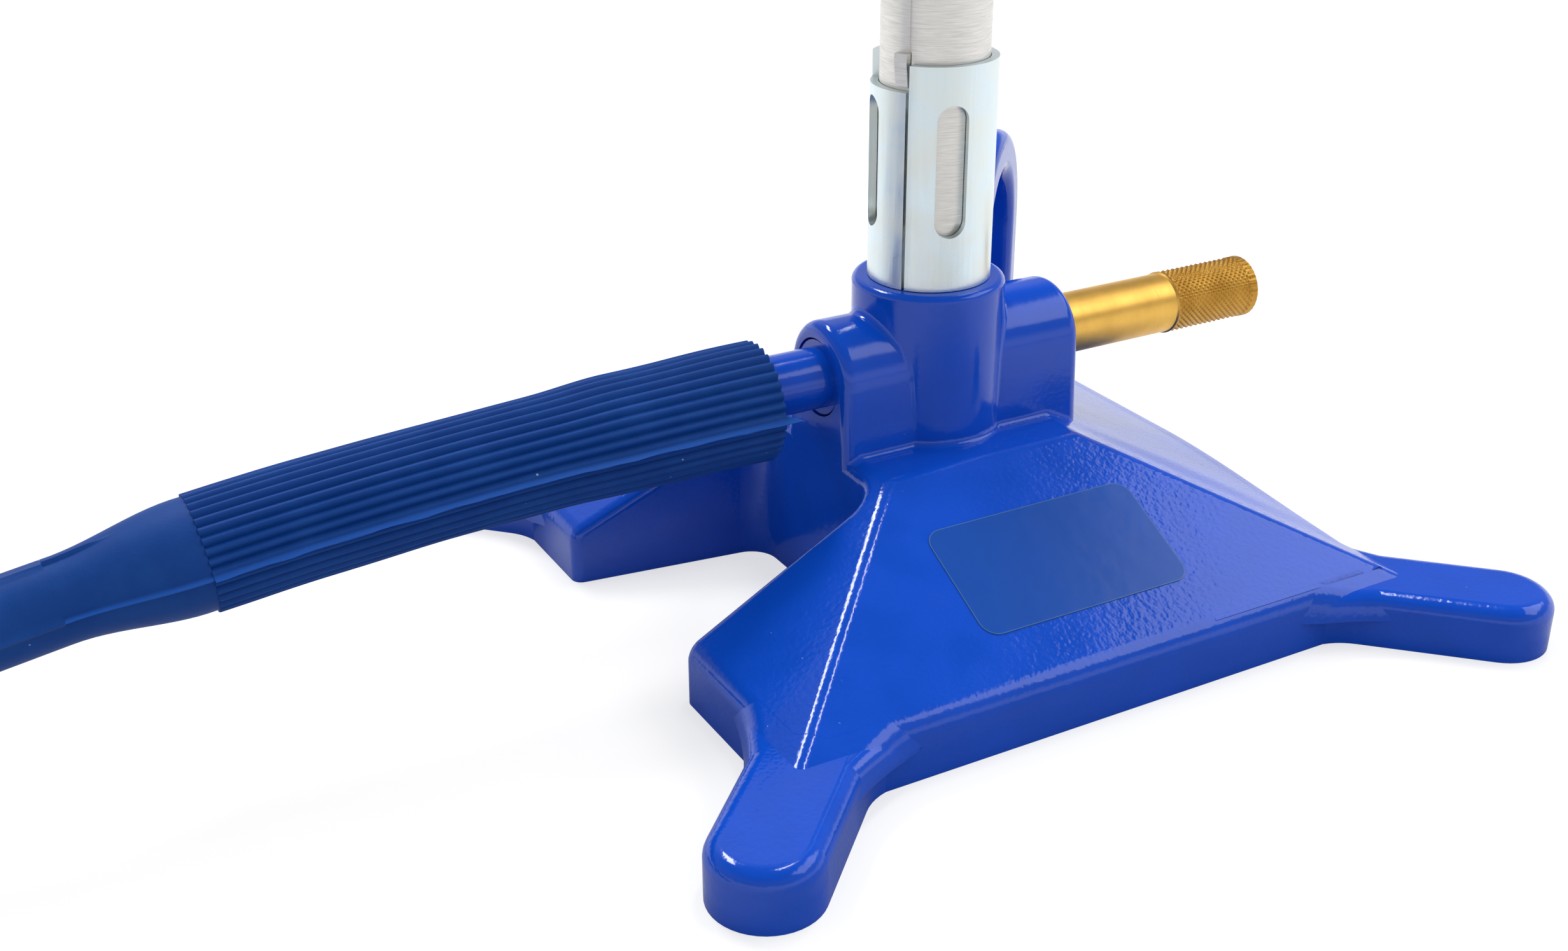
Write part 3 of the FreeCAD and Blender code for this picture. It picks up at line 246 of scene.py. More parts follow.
def turned_brass(name, dark_share):
    """Brass turned on a lathe: fine tool rings round the X axis, drawn darker all over by a given share, with random
    patches a little darker still.
    """
    material, tree, place = new_material(name)
    round_it = add(tree, "ShaderNodeMapping", {"Vector": place, "Scale": (per(0.18), per(9.0), per(9.0))})
    rings = add(tree, "ShaderNodeTexNoise", {"Vector": round_it.outputs[0], "Scale": 1.0, "Detail": 3.0})
    patches = add(tree, "ShaderNodeTexNoise", {"Vector": place, "Scale": per(3.0), "Detail": 3.0})
    aged = add(tree, "ShaderNodeMapRange", {
        "Value": patches.outputs["Fac"], "From Min": 0.3, "From Max": 0.7,
        "To Min": dark_share, "To Max": dark_share + 0.25})
    base = add(tree, "ShaderNodeMix", {
        "Factor": aged.outputs[0], "A": rgba(colours().brass), "B": rgba(colours().brass_dark)}, data_type="RGBA")
    dull = add(tree, "ShaderNodeMapRange", {"Value": rings.outputs["Fac"], "To Min": 0.3, "To Max": 0.46})
    turned = add(tree, "ShaderNodeBump", {"Strength": 0.35, "Distance": 0.04 * MM, "Height": rings.outputs["Fac"]})
    shader = add(tree, "ShaderNodeBsdfPrincipled", {
        "Base Color": base.outputs[2], "Metallic": 1.0, "Roughness": dull.outputs[0], "Normal": turned.outputs[0]})
    return finish_material(material, shader)


def moulded_rubber():
    """Moulded rubber: matte, with a dusty bloom, fine grain and specks of dust, and a painted highlight along the
    parting-line fins.
    """
    material, tree, place = new_material("moulded_rubber")
    bloom = add(tree, "ShaderNodeTexNoise", {"Vector": place, "Scale": per(7.0), "Detail": 5.0, "Roughness": 0.65})
    grain = add(tree, "ShaderNodeTexNoise", {"Vector": place, "Scale": per(0.35), "Detail": 3.0})
    cells = add(tree, "ShaderNodeTexVoronoi", {"Vector": place, "Scale": per(3.4)})
    grit_size = add(tree, "ShaderNodeMath", {0: cells.outputs["Color"], 1: 0.055}, operation="MULTIPLY")
    grit = add(tree, "ShaderNodeMath", {0: cells.outputs["Distance"], 1: grit_size.outputs[0]}, operation="LESS_THAN")
    tone = add(tree, "ShaderNodeMapRange", {
        "Value": bloom.outputs["Fac"], "From Min": 0.42, "From Max": 0.72, "To Max": 0.65})
    skin = add(tree, "ShaderNodeMix", {
        "Factor": tone.outputs[0], "A": rgba(colours().rubber), "B": rgba(colours().rubber_bloom)}, data_type="RGBA")
    # Painted highlight: where the cuff's fins are marked, the rubber is drawn in a lighter blue, standing for light
    # caught on the fins.
    seam = add(tree, "ShaderNodeAttribute", attribute_name="seam")
    fin_highlight = add(tree, "ShaderNodeMix", {
        "Factor": seam.outputs["Fac"], "A": skin.outputs[2], "B": rgba(linear("#1A55B0"))}, data_type="RGBA")
    base = add(tree, "ShaderNodeMix", {
        "Factor": grit.outputs[0], "A": fin_highlight.outputs[2], "B": rgba(linear("#8FA3C8"))}, data_type="RGBA")
    dull = add(tree, "ShaderNodeMapRange", {"Value": bloom.outputs["Fac"], "To Min": 0.48, "To Max": 0.66})
    rough = add(tree, "ShaderNodeBump", {"Strength": 0.3, "Distance": 0.06 * MM, "Height": grain.outputs["Fac"]})
    shader = add(tree, "ShaderNodeBsdfPrincipled", {
        "Base Color": base.outputs[2], "Roughness": dull.outputs[0], "IOR": 1.5, "Specular IOR Level": 0.15,
        "Normal": rough.outputs[0]})
    return finish_material(material, shader)


def plain_stuff(name, code, spot_code, spot, roughness, metallic=0.0):
    """Small hidden pieces: one finish with spots of another, of a real size, in its colour and relief."""
    material, tree, place = new_material(name)
    spots = add(tree, "ShaderNodeTexNoise", {"Vector": place, "Scale": per(spot), "Detail": 3.0})
    tone = add(tree, "ShaderNodeMapRange", {"Value": spots.outputs["Fac"], "From Min": 0.4, "From Max": 0.65})
    base = add(tree, "ShaderNodeMix", {
        "Factor": tone.outputs[0], "A": rgba(linear(code)), "B": rgba(linear(spot_code))}, data_type="RGBA")
    relief = add(tree, "ShaderNodeBump", {"Strength": 0.25, "Distance": 0.05 * MM, "Height": spots.outputs["Fac"]})
    shader = add(tree, "ShaderNodeBsdfPrincipled", {
        "Base Color": base.outputs[2], "Metallic": metallic, "Roughness": roughness, "Normal": relief.outputs[0]})
    return finish_material(material, shader)


def satin_film(name, face):
    """Printed film under a satin laminate: even colour, soft gloss and slight ripples from the enamel."""
    material, tree, place = new_material(name)
    ripples = add(tree, "ShaderNodeTexNoise", {"Vector": place, "Scale": per(3.2), "Detail": 2.0})
    tone = add(tree, "ShaderNodeMapRange", {"Value": ripples.outputs["Fac"], "To Min": 0.96, "To Max": 1.04})
    base = add(tree, "ShaderNodeVectorMath", {0: face, "Scale": tone.outputs[0]}, operation="SCALE")
    relief = add(tree, "ShaderNodeBump", {"Distance": 0.03 * MM, "Height": ripples.outputs["Fac"]})
    shader = add(tree, "ShaderNodeBsdfPrincipled", {
        "Base Color": base.outputs[0], "Roughness": 0.2, "IOR": 1.5, "Specular IOR Level": 0.3,
        "Normal": relief.outputs[0]})
    return finish_material(material, shader)


# Shares of the table's colour in bounced light and for the camera, and its own light for the camera.
TABLE_BOUNCE, TABLE_SHOWN, TABLE_GLOW = 0.55, 0.5, 0.62


def pale_table():
    """Pale laminate, white to the camera with a faint shadow; in reflections it carries a painted shadow near the
    burner and painted shade towards the front left.
    """
    material, tree, place = new_material("pale_table")
    path = add(tree, "ShaderNodeLightPath")
    # Painted shadow for reflections: glossy rays see the table darker within 45 to 85 mm of a point in front of the
    # burner, and a little darker towards the front left as painted shade.
    reach = add(tree, "ShaderNodeVectorMath", {0: place, 1: (0, -55 * MM, 0)}, operation="DISTANCE")
    near = add(tree, "ShaderNodeMapRange", {
        "Value": reach.outputs["Value"], "From Min": 45 * MM, "From Max": 85 * MM, "To Min": 0.36},
        interpolation_type="SMOOTHSTEP")
    across = add(tree, "ShaderNodeVectorMath", {0: place, 1: (1, 1, 0)}, operation="DOT_PRODUCT")
    painted_shade_left = add(tree, "ShaderNodeMapRange", {
        "Value": across.outputs["Value"], "From Min": -300 * MM, "From Max": 0.0, "To Min": 0.88, "To Max": 0.97})
    level = add(tree, "ShaderNodeMath", {0: near.outputs[0], 1: painted_shade_left.outputs[0]}, operation="MULTIPLY")
    fair = tuple(colours().table)
    mirrored = add(tree, "ShaderNodeVectorMath", {0: fair, "Scale": level.outputs[0]}, operation="SCALE")
    tone = add(tree, "ShaderNodeMix", {
        "Factor": path.outputs["Is Glossy Ray"], "A": rgba(TABLE_BOUNCE * value for value in fair),
        "B": mirrored.outputs[0]}, data_type="RGBA")
    shown = add(tree, "ShaderNodeMix", {
        "Factor": path.outputs["Is Camera Ray"], "A": tone.outputs[2],
        "B": rgba(TABLE_SHOWN * value for value in fair)}, data_type="RGBA")
    glow = add(tree, "ShaderNodeMath", {0: path.outputs["Is Camera Ray"], 1: TABLE_GLOW}, operation="MULTIPLY")
    lit = add(tree, "ShaderNodeBsdfDiffuse", {"Color": shown.outputs[2]})
    own = add(tree, "ShaderNodeEmission", {"Color": (1, 1, 1, 1), "Strength": glow.outputs[0]})
    both = add(tree, "ShaderNodeAddShader", {0: lit.outputs[0], 1: own.outputs[0]})
    return finish_material(material, both)


def dress(node_name, material):
    """Give a CAD node its finish."""
    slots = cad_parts[node_name].data.materials
    slots.clear()
    slots.append(material)


# Pieces

def pose_of(side, up, toward, place):
    """Matrix with these three axes, at a place."""
    pose = Matrix((side, up, toward)).transposed().to_4x4()
    pose.translation = place
    return pose


def new_object(name, data, pose=Matrix()):
    made = bpy.data.objects.new(name, data)
    made.matrix_world = pose
    bpy.context.scene.collection.objects.link(made)
    return made


def mesh_object(name, mesh_tool, materials):
    """Object from a bmesh."""
    mesh = bpy.data.meshes.new(name)
    mesh_tool.to_mesh(mesh)
    mesh_tool.free()
    for material in materials:
        mesh.materials.append(material)
    return new_object(name, mesh)


def new_piece(name, mesh_tool, materials, body):
    """Object from a bmesh that rides on a body."""
    piece = mesh_object(name, mesh_tool, materials)
    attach(piece, body)
    return piece


def shade_smooth(mesh_tool, sharp_degrees=35):
    for face in mesh_tool.faces:
        face.smooth = True
    for edge in mesh_tool.edges:
        if len(edge.link_faces) == 2 and edge.calc_face_angle(0) > math.radians(sharp_degrees):
            edge.smooth = False


def seat_on(node_name, x, y):
    """Point and normal of a node's top at a place in plan."""
    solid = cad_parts[node_name]
    hit, point, normal, _ = solid.ray_cast(Vector((x, y, 1.0)), Vector((0, 0, -1)))
    if not hit:
        raise RuntimeError(f"nothing of {node_name} lies under {x:.4f}, {y:.4f}")
    return point, normal


def smooth_line(points, resolution):
    """Points along the NURBS line that has these control points."""
    curve = bpy.data.curves.new("route", "CURVE")
    curve.dimensions = "3D"
    curve.resolution_u = resolution
    spline = curve.splines.new("NURBS")
    spline.points.add(len(points) - 1)
    for point, place in zip(spline.points, points):
        point.co = (*place, 1.0)
    spline.order_u = 3
    spline.use_endpoint_u = True
    holder = bpy.data.objects.new("route", curve)
    drawn = bpy.data.meshes.new_from_object(holder)
    line = [vertex.co.copy() for vertex in drawn.vertices]
    bpy.data.objects.remove(holder)
    bpy.data.curves.remove(curve)
    bpy.data.meshes.remove(drawn)
    return line


def distances(line):
    """Length of a line up to each point."""
    run = [0.0]
    for before, after in zip(line, line[1:]):
        run.append(run[-1] + (after - before).length)
    return run


def headings(line):
    """Direction of a line at each point."""
    made = []
    for number in range(len(line)):
        before, after = line[max(number - 1, 0)], line[min(number + 1, len(line) - 1)]
        made.append((after - before).normalized())
    return made


def section_axes(heading):
    """Sideways and up, square to a heading that is never upright."""
    side = Vector((0, 0, 1)).cross(heading).normalized()
    return side, heading.cross(side)


def steps(value, table):
    """Smooth value from a table of (place, value) pairs."""
    for (low, first), (high, last) in zip(table, table[1:]):
        if value <= high:
            share = min(max((value - low) / (high - low), 0.0), 1.0)
            return first + (last - first) * share * share * (3 - 2 * share)
    return table[-1][1]


def set_ring(ring, centre, heading, reach):
    """Lay a ring of vertices round a centre. Reach gives radius and forward shift for an angle."""
    side, up = section_axes(heading)
    for number, vertex in enumerate(ring):
        angle = 2 * math.pi * number / len(ring)
        radius, ahead = reach(angle)
        vertex.co = centre + side * (radius * math.cos(angle)) + up * (radius * math.sin(angle)) + heading * ahead


def fresh_verts(made):
    """Vertices that an extrusion added."""
    return [item for item in made["geom"] if isinstance(item, bmesh.types.BMVert)]


def ring_edges(mesh_tool, ring):
    return [mesh_tool.edges.get(pair) for pair in zip(ring, ring[1:] + ring[:1])]


def thicken(mesh_tool, thick):
    """Raise a sheet into a plate of that thickness."""
    top = fresh_verts(bmesh.ops.extrude_face_region(mesh_tool, geom=mesh_tool.faces[:]))
    bmesh.ops.translate(mesh_tool, verts=top, vec=(0, 0, thick))
    bmesh.ops.recalc_face_normals(mesh_tool, faces=mesh_tool.faces)


def next_ring(mesh_tool, ring):
    """Extrude a ring of vertices and return the new ring in the same order."""
    fresh = set(fresh_verts(bmesh.ops.extrude_edge_only(mesh_tool, edges=ring_edges(mesh_tool, ring))))
    return [next(edge.other_vert(vertex) for edge in vertex.link_edges if edge.other_vert(vertex) in fresh)
            for vertex in ring]


def first_ring(mesh_tool, count):
    """Ring of vertices, in order, to start a tube."""
    made = bmesh.ops.create_circle(mesh_tool, cap_ends=False, segments=count, radius=1.0)
    start = made["verts"][0]
    ring, last = [start], None
    while len(ring) < count:
        edge = next(item for item in ring[-1].link_edges if item.other_vert(ring[-1]) is not last)
        last = ring[-1]
        ring.append(edge.other_vert(last))
    return ring


def close_tube(mesh_tool, ring, start_ring):
    """Join the last ring to the first one and turn all faces outwards."""
    bmesh.ops.bridge_loops(mesh_tool, edges=ring_edges(mesh_tool, ring) + ring_edges(mesh_tool, start_ring))
    bmesh.ops.recalc_face_normals(mesh_tool, faces=mesh_tool.faces)


# Angles of the parting lines from the side of the hose, and half the width of a fin in columns of the mesh.
FLASH_SIDES, TOP_SEAM = (0.0, math.pi), (1.5,)
CUFF_FIN, HOSE_FIN = 3.2, 1.0
RIBS_END, RIB_COLUMNS, RIB_PHASE = 72.2 * MM, 10, 0.25
# Forward reach of the fins at the mouth, and unevenness of the ribs.
TIP_REACH, RIPPLE = 2.2 * MM, 0.12 * MM
# Shares of a rib's height and of the flash on cone and hose, and how the flash fades along the hose, in metres.
CONE_SINK, CONE_FLASH, CONE_TOP_FLASH, HOSE_TOP_FLASH = 0.55, 0.65, 0.5, 0.75
HOSE_FADE = [(0, 0.65), (0.05, 0.4), (0.12, 0.1)]


def flash(angle, count, wide, sides=FLASH_SIDES):
    """One on the parting lines, falling to nought beside them."""
    near = min(abs(math.remainder(angle - side, 2 * math.pi)) for side in sides)
    return max(1 - near * count / (2 * math.pi) / wide, 0.0)


def cuff_mesh(line, radii, bores):
    """Ribbed cuff with a plain cone, its parting lines and its bore."""
    ribs, rib = sizes().rib_count, sizes().rib_height
    count = ribs * RIB_COLUMNS
    run, ahead = distances(line), headings(line)
    mesh_tool = bmesh.new()
    # This layer marks the parting-line fins, where the rubber draws its painted highlight in a lighter blue.
    fin_highlight_mark = mesh_tool.verts.layers.float.new("seam")
    ring = start_ring = first_ring(mesh_tool, count)
    for number, vertex in enumerate(ring):
        vertex[fin_highlight_mark] = min(1.5 * flash(2 * math.pi * number / count, count, CUFF_FIN), 1.0)

    def ribbed(place):
        base = steps(place, radii)

        def reach(angle):
            seam = flash(angle, count, CUFF_FIN)
            crest = max(abs(math.sin(ribs * angle / 2 + RIB_PHASE)), min(2 * seam, 1.0))
            fin = sizes().flash_height * seam * (0.75 + 0.5 * noise.noise((place * 260, angle, 3.1)))
            ripple = RIPPLE * noise.noise((math.cos(angle) * 1.3, math.sin(angle) * 1.3, place * 90))
            tip = -TIP_REACH * seam if place == 0 else 0.0
            return base - rib * (1 - crest) + max(fin, 0) + ripple, tip
        return reach

    def plain(place):
        share = (place - RIBS_END) / (run[-1] - RIBS_END)
        base = steps(place, radii) - CONE_SINK * rib * (1 - share)
        top = CONE_TOP_FLASH * steps(share, [(0.5, 0.0), (0.75, 1.0)])

        def reach(angle):
            fin = CONE_FLASH * flash(angle, count, CUFF_FIN) + top * flash(angle, count, CUFF_FIN, TOP_SEAM)
            return base + fin * sizes().flash_height, 0.0
        return reach

    for number, place in enumerate(run):
        shape = ribbed(place) if place <= RIBS_END else plain(place)
        if number:
            ring = next_ring(mesh_tool, ring)
        if number and run[number - 1] <= RIBS_END < place:
            set_ring(ring, line[number - 1], ahead[number - 1], plain(RIBS_END + 1e-6))
            ring = next_ring(mesh_tool, ring)
        set_ring(ring, line[number], ahead[number], shape)
    for place, radius in reversed(bores):
        number = min(range(len(run)), key=lambda item: abs(run[item] - place))
        ring = next_ring(mesh_tool, ring)
        set_ring(ring, line[number], ahead[number], lambda angle, radius=radius: (radius, 0.0))
    close_tube(mesh_tool, ring, start_ring)
    shade_smooth(mesh_tool, 50)
    return mesh_tool


# A cuff's route, and pairs of place along it and radius for its outside and its bore, in millimetres.
NEAR_CUFF = (
    [(-25.8, 0, 30.6), (-73.263, 0, 30.6), (-113.347, 0, 25.076)],
    [(0, 7.9), (20.16, 7.6), (30.24, 7.2), (49.3, 7.1), (72.2, 7.1), (87.8, 5.0)],
    [(0, 4.4), (25.7, 4.4), (29.2, 3.2), (87.8, 3.2)],
)
FAR_CUFF = (
    [(-127.2, 72.6, 7.3), (-171.1, 72.6, 7.3), (-215.0, 72.6, 7.3)],
    [(0, 7.1), (72.2, 7.1), (87.8, 5.0)],
    [(0, 4.025), (30, 4.025), (34, 3.2), (87.8, 3.2)],
)
CUFF_STEPS, HOSE_STEPS, HOSE_COLUMNS = 34, 10, 60


def in_metres(points):
    return [tuple(value * MM for value in point) for point in points]


def make_cuff(name, node_name, shape, rubber):
    route, radii, bores = (in_metres(points) for points in shape)
    mesh_tool = cuff_mesh(smooth_line(route, CUFF_STEPS), radii, bores)
    piece = new_piece(name, mesh_tool, [rubber], "base")
    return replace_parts(piece, node_name)


# Half turns of the coil: centre, radius, side, and fall from one end to the other, in millimetres.
COIL_TURNS = [
    ((-305.0, 4.0, 5.2), 58.0, -1.0, 0.0),
    ((-305.0, 9.3, 10.5), 52.97, 1.0, -5.3),
    ((-305.0, 14.6, 15.8), 58.0, -1.0, 0.0),
]
HOSE_START = [(-113.347, 0, 25.076), (-174.767, 0, 16.612), (-250.0, -54.0, 5.2), (-289.46, -54.0, 5.2)]
HOSE_END = [(-289.46, 72.6, 15.8), (-271.0, 72.6, 15.2), (-239.0, 72.6, 7.3), (-215.0, 72.6, 7.3)]


def hose_route():
    """Control points of the free hose: down to the table, one and a half turns, and the tail."""
    points = list(HOSE_START)
    for (x, y, z), radius, bulge, dip in COIL_TURNS:
        reach = radius / math.cos(math.radians(15))
        flat = math.sqrt(1 - (dip / radius) ** 2)
        for degrees in range(15, 180, 30):
            angle = math.radians(degrees)
            along = math.cos(angle) * bulge
            points.append((x + bulge * reach * math.sin(angle), y + reach * along * flat,
                           z + reach * along * dip / radius))
    return points + HOSE_END


def make_hose(rubber):
    """Plain hose with its parting lines, as a tube along the smooth route."""
    line = smooth_line(in_metres(hose_route()), HOSE_STEPS)
    run, ahead = distances(line), headings(line)
    count = HOSE_COLUMNS
    mesh_tool = bmesh.new()
    ring = start_ring = first_ring(mesh_tool, count)
    for number, place in enumerate(run):
        if number:
            ring = next_ring(mesh_tool, ring)
        fade = steps(place, HOSE_FADE)

        def reach(angle):
            fin = flash(angle, count, HOSE_FIN) + HOSE_TOP_FLASH * flash(angle, count, HOSE_FIN, TOP_SEAM)
            return sizes().hose_radius + fade * sizes().flash_height * fin, 0.0
        set_ring(ring, line[number], ahead[number], reach)
    for loop in (ring, start_ring):
        bmesh.ops.contextual_create(mesh_tool, geom=ring_edges(mesh_tool, loop))
    bmesh.ops.recalc_face_normals(mesh_tool, faces=mesh_tool.faces)
    shade_smooth(mesh_tool, 50)
    piece = new_piece("hose", mesh_tool, [rubber], "base")
    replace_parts(piece, "hose_tube", "hose_coil", "hose_tail")
    return piece, line, run[-1]


def make_tie(band):
    """Band round both turns of the coil where one lies on the other."""
    reach, lift, thick, wide = 5.03 * MM, 10.6 * MM, 0.14 * MM, 5 * MM
    place = Vector((-363, 7, 5.2)) * MM
    mesh_tool = bmesh.new()
    made = bmesh.ops.create_circle(mesh_tool, cap_ends=False, segments=64, radius=reach)
    bmesh.ops.rotate(mesh_tool, verts=made["verts"], matrix=Matrix.Rotation(math.radians(90), 3, "X"))
    upper = [vertex for vertex in mesh_tool.verts if vertex.co.z > 1e-6]
    bmesh.ops.translate(mesh_tool, verts=upper, vec=(0, 0, lift))
    bmesh.ops.translate(mesh_tool, verts=mesh_tool.verts, vec=place)
    far_side = fresh_verts(bmesh.ops.extrude_edge_only(mesh_tool, edges=mesh_tool.edges[:]))
    bmesh.ops.translate(mesh_tool, verts=far_side, vec=(0, wide, 0))
    bmesh.ops.recalc_face_normals(mesh_tool, faces=mesh_tool.faces)
    bmesh.ops.solidify(mesh_tool, geom=mesh_tool.faces[:], thickness=thick)
    shade_smooth(mesh_tool)
    return new_piece("coil_tie", mesh_tool, [band], "base")


LABEL_BORDER, LABEL_SINK = 0.12 * MM, 0.03 * MM


def make_label(face, edge):
    """Thin label with round corners, on the slope of the front panel."""
    point, normal = seat_on("base_casting", sizes().label_x, -sizes().label_y)
    mesh_tool = bmesh.new()
    bmesh.ops.create_grid(mesh_tool, x_segments=1, y_segments=1, size=0.5)
    bmesh.ops.scale(mesh_tool, verts=mesh_tool.verts, vec=(sizes().label_width, sizes().label_height, 1))
    bmesh.ops.bevel(mesh_tool, geom=mesh_tool.verts[:], offset=sizes().label_corner, offset_type="OFFSET",
                    segments=10, profile=0.5, affect="VERTICES", material=-1)
    thicken(mesh_tool, sizes().label_thick)
    front = max(mesh_tool.faces, key=lambda item: item.calc_center_median().z)
    bmesh.ops.inset_region(mesh_tool, faces=[front], thickness=LABEL_BORDER, depth=0.0)
    for piece_face in mesh_tool.faces:
        piece_face.material_index = 0 if piece_face is front else 1
    along = Vector((1, 0, 0))
    up = normal.cross(along).normalized()
    seat = pose_of(along, up, normal, point - normal * LABEL_SINK)
    bmesh.ops.transform(mesh_tool, matrix=seat, verts=mesh_tool.verts)
    return new_piece("label_plate", mesh_tool, [face, edge], "base")


# Sizes of the casting round its right panel and its feet, in millimetres.
SLOPE = math.radians(26.6)
WALL, WALL_TOP, WALL_EDGE, ROOF_FLAT, RIDGE_HALF = 45.0, 7.8, 3.0, 15.0, 0.82
PANEL_FALL = math.tan(SLOPE) / math.sqrt(2)
FOOT_HALF, FOOT_TIP, FOOT_TOP, FOOT_ROOT, ROOT_EDGE = 6.55, 83.8, 7.4, 8.0, 3.4
# A foot's root: extent, thickness, how far its border lies inside its outline and the outline inside the wall,
# how far past the border places are drawn in, and the depth over which its edge is tucked into the solid.
ROOT_DEEP, ROOT_WIDE, ROOT_THICK, ROOT_MARGIN, ROOT_INSET, ROOT_DRAW, ROOT_TUCK = 25.6, 23.0, 0.4, 0.25, 0.4, 0.4, 1.2
# The right panel: its extent, thickness and fullness at the eave, and the lengths over which that fades.
PANEL_WIDE, PANEL_THICK, PANEL_LIFT = 88.0, 2.0, 2.8
FRONT_FADE, RIDGE_FADE, REAR_FADE = 45.0, 12.0, 20.0
PANEL_TOP = ROOF_FLAT + 0.5
# What lies along the solid's own faces is this far below them.
HIDE = 0.012


def ridge_crest(across):
    """Plan distance from a ridge, made round close to it."""
    return across if across > RIDGE_HALF else (RIDGE_HALF + across ** 2 / RIDGE_HALF) / 2


def root_depth(along, across):
    """How far inside the outline of wall, hollow root and foot a place lies."""
    wall = (along + across) / math.sqrt(2) - WALL + ROOT_INSET
    foot = math.hypot(max(along - FOOT_TIP + FOOT_HALF, 0), across) - FOOT_HALF
    reach = math.hypot(max(FOOT_ROOT - wall, 0), max(FOOT_ROOT - foot, 0))
    return reach - max(FOOT_ROOT, min(wall, foot))


def root_crease(across):
    """Where a panel or its ridge meets the top of a foot."""
    return (WALL_TOP - FOOT_TOP) / PANEL_FALL + math.sqrt(2) * WALL - ridge_crest(across)


def root_height(along, across):
    """Height of the casting where two panels and their ridge run out on a foot, with rounded edges."""
    top = FOOT_TOP + max(root_crease(across) - along, 0) * PANEL_FALL
    depth = root_depth(along, across)
    short = max(ROOT_EDGE - depth, 0)
    tuck = max(ROOT_TUCK - depth, 0)
    return top - ROOT_EDGE + math.sqrt(max(ROOT_EDGE ** 2 - short ** 2, 0)) - tuck ** 2 - HIDE


def root_border(along, across):
    """Nearest place on the border of a foot's root, for one that lies outside."""
    step = 0.01
    for _ in range(4):
        depth = root_depth(along, across) - ROOT_MARGIN
        rise = (root_depth(along + step, across) - depth - ROOT_MARGIN) / step
        lean = (root_depth(along, across + step) - depth - ROOT_MARGIN) / step
        steep = max(rise ** 2 + lean ** 2, 1e-6)
        along, across = along - depth * rise / steep, across - depth * lean / steep
    return along, across


def panel_lift(x, y):
    """How much fuller than the solid's plane the right panel is: most at the eave, nothing at the ridges."""
    front = steps(WALL + y, [(0, 0), (FRONT_FADE, 1)]) * steps(x + y, [(0, 0), (RIDGE_FADE, 1)])
    rear = steps(x - y, [(0, 0), (REAR_FADE, 1)])
    return PANEL_LIFT * front * rear * max(x - ROOF_FLAT, 0) / (WALL - ROOF_FLAT)


def panel_point(share, y):
    """Point of the right side: down the panel for shares to 1, round its rim to 2, down the wall to 3."""
    eave = panel_lift(WALL, y)
    turn = SLOPE + (math.pi / 2 - SLOPE) * min(max(share - 1, 0), 1)
    level = WALL_TOP - WALL_EDGE / math.cos(SLOPE) + WALL_EDGE * math.tan(SLOPE)
    rim_x, rim_z = WALL - WALL_EDGE * (1 - math.sin(turn)), level + eave + WALL_EDGE * math.cos(turn)
    if share > 1:
        return Vector((rim_x - HIDE, y, rim_z * (1 - max(share - 2, 0)))) * MM
    x = PANEL_TOP + (rim_x - PANEL_TOP) * share
    across = abs(x - abs(y)) / math.sqrt(2)
    outer = max(x, abs(y)) + (ridge_crest(across) - across) / math.sqrt(2)
    height = WALL_TOP + (WALL - outer) * math.tan(SLOPE) + (panel_lift(x, y) if x > abs(y) else 0)
    return Vector((x, y, height - HIDE)) * MM


def make_right_panel(enamel):
    """Right panel and wall of the casting, whole and a little full, over the solid's own."""
    mesh_tool = bmesh.new()
    grid = bmesh.ops.create_grid(mesh_tool, x_segments=60, y_segments=88, size=0.5)["verts"]
    for vertex in grid:
        vertex.co = panel_point((vertex.co.x + 0.5) * 3, vertex.co.y * PANEL_WIDE)
    for vertex in fresh_verts(bmesh.ops.extrude_face_region(mesh_tool, geom=mesh_tool.faces[:])):
        vertex.co -= Vector((PANEL_THICK, 0, PANEL_THICK)) * MM
        vertex.co.z = max(vertex.co.z, 0.0)
    bmesh.ops.recalc_face_normals(mesh_tool, faces=mesh_tool.faces)
    shade_smooth(mesh_tool)
    return new_piece("right_panel", mesh_tool, [enamel], "base")


def make_foot_roots(enamel):
    """Corners of the casting where the panels run out on the feet, laid over the solid's round corners."""
    mesh_tool = bmesh.new()
    for turn in range(4):
        grid = bmesh.ops.create_grid(mesh_tool, x_segments=76, y_segments=72, size=0.5)["verts"]
        inside, outside = [], []
        for vertex in grid:
            across = vertex.co.y * ROOT_WIDE
            along = root_crease(abs(across)) + vertex.co.x * ROOT_DEEP
            depth = root_depth(along, abs(across))
            (inside if depth > ROOT_MARGIN - ROOT_DRAW else outside).append(vertex)
            if depth < ROOT_MARGIN:
                hand = math.copysign(1.0, across)
                along, across = root_border(along, abs(across))
                across *= hand
            vertex.co = Vector((along, across, root_height(along, abs(across)) - ROOT_THICK)) * MM
        bmesh.ops.delete(mesh_tool, geom=outside, context="VERTS")
        bmesh.ops.rotate(mesh_tool, verts=inside, matrix=Matrix.Rotation(math.radians(45 + 90 * turn), 3, "Z"))
    thicken(mesh_tool, ROOT_THICK * MM)
    shade_smooth(mesh_tool, 16)
    return new_piece("foot_roots", mesh_tool, [enamel], "base")


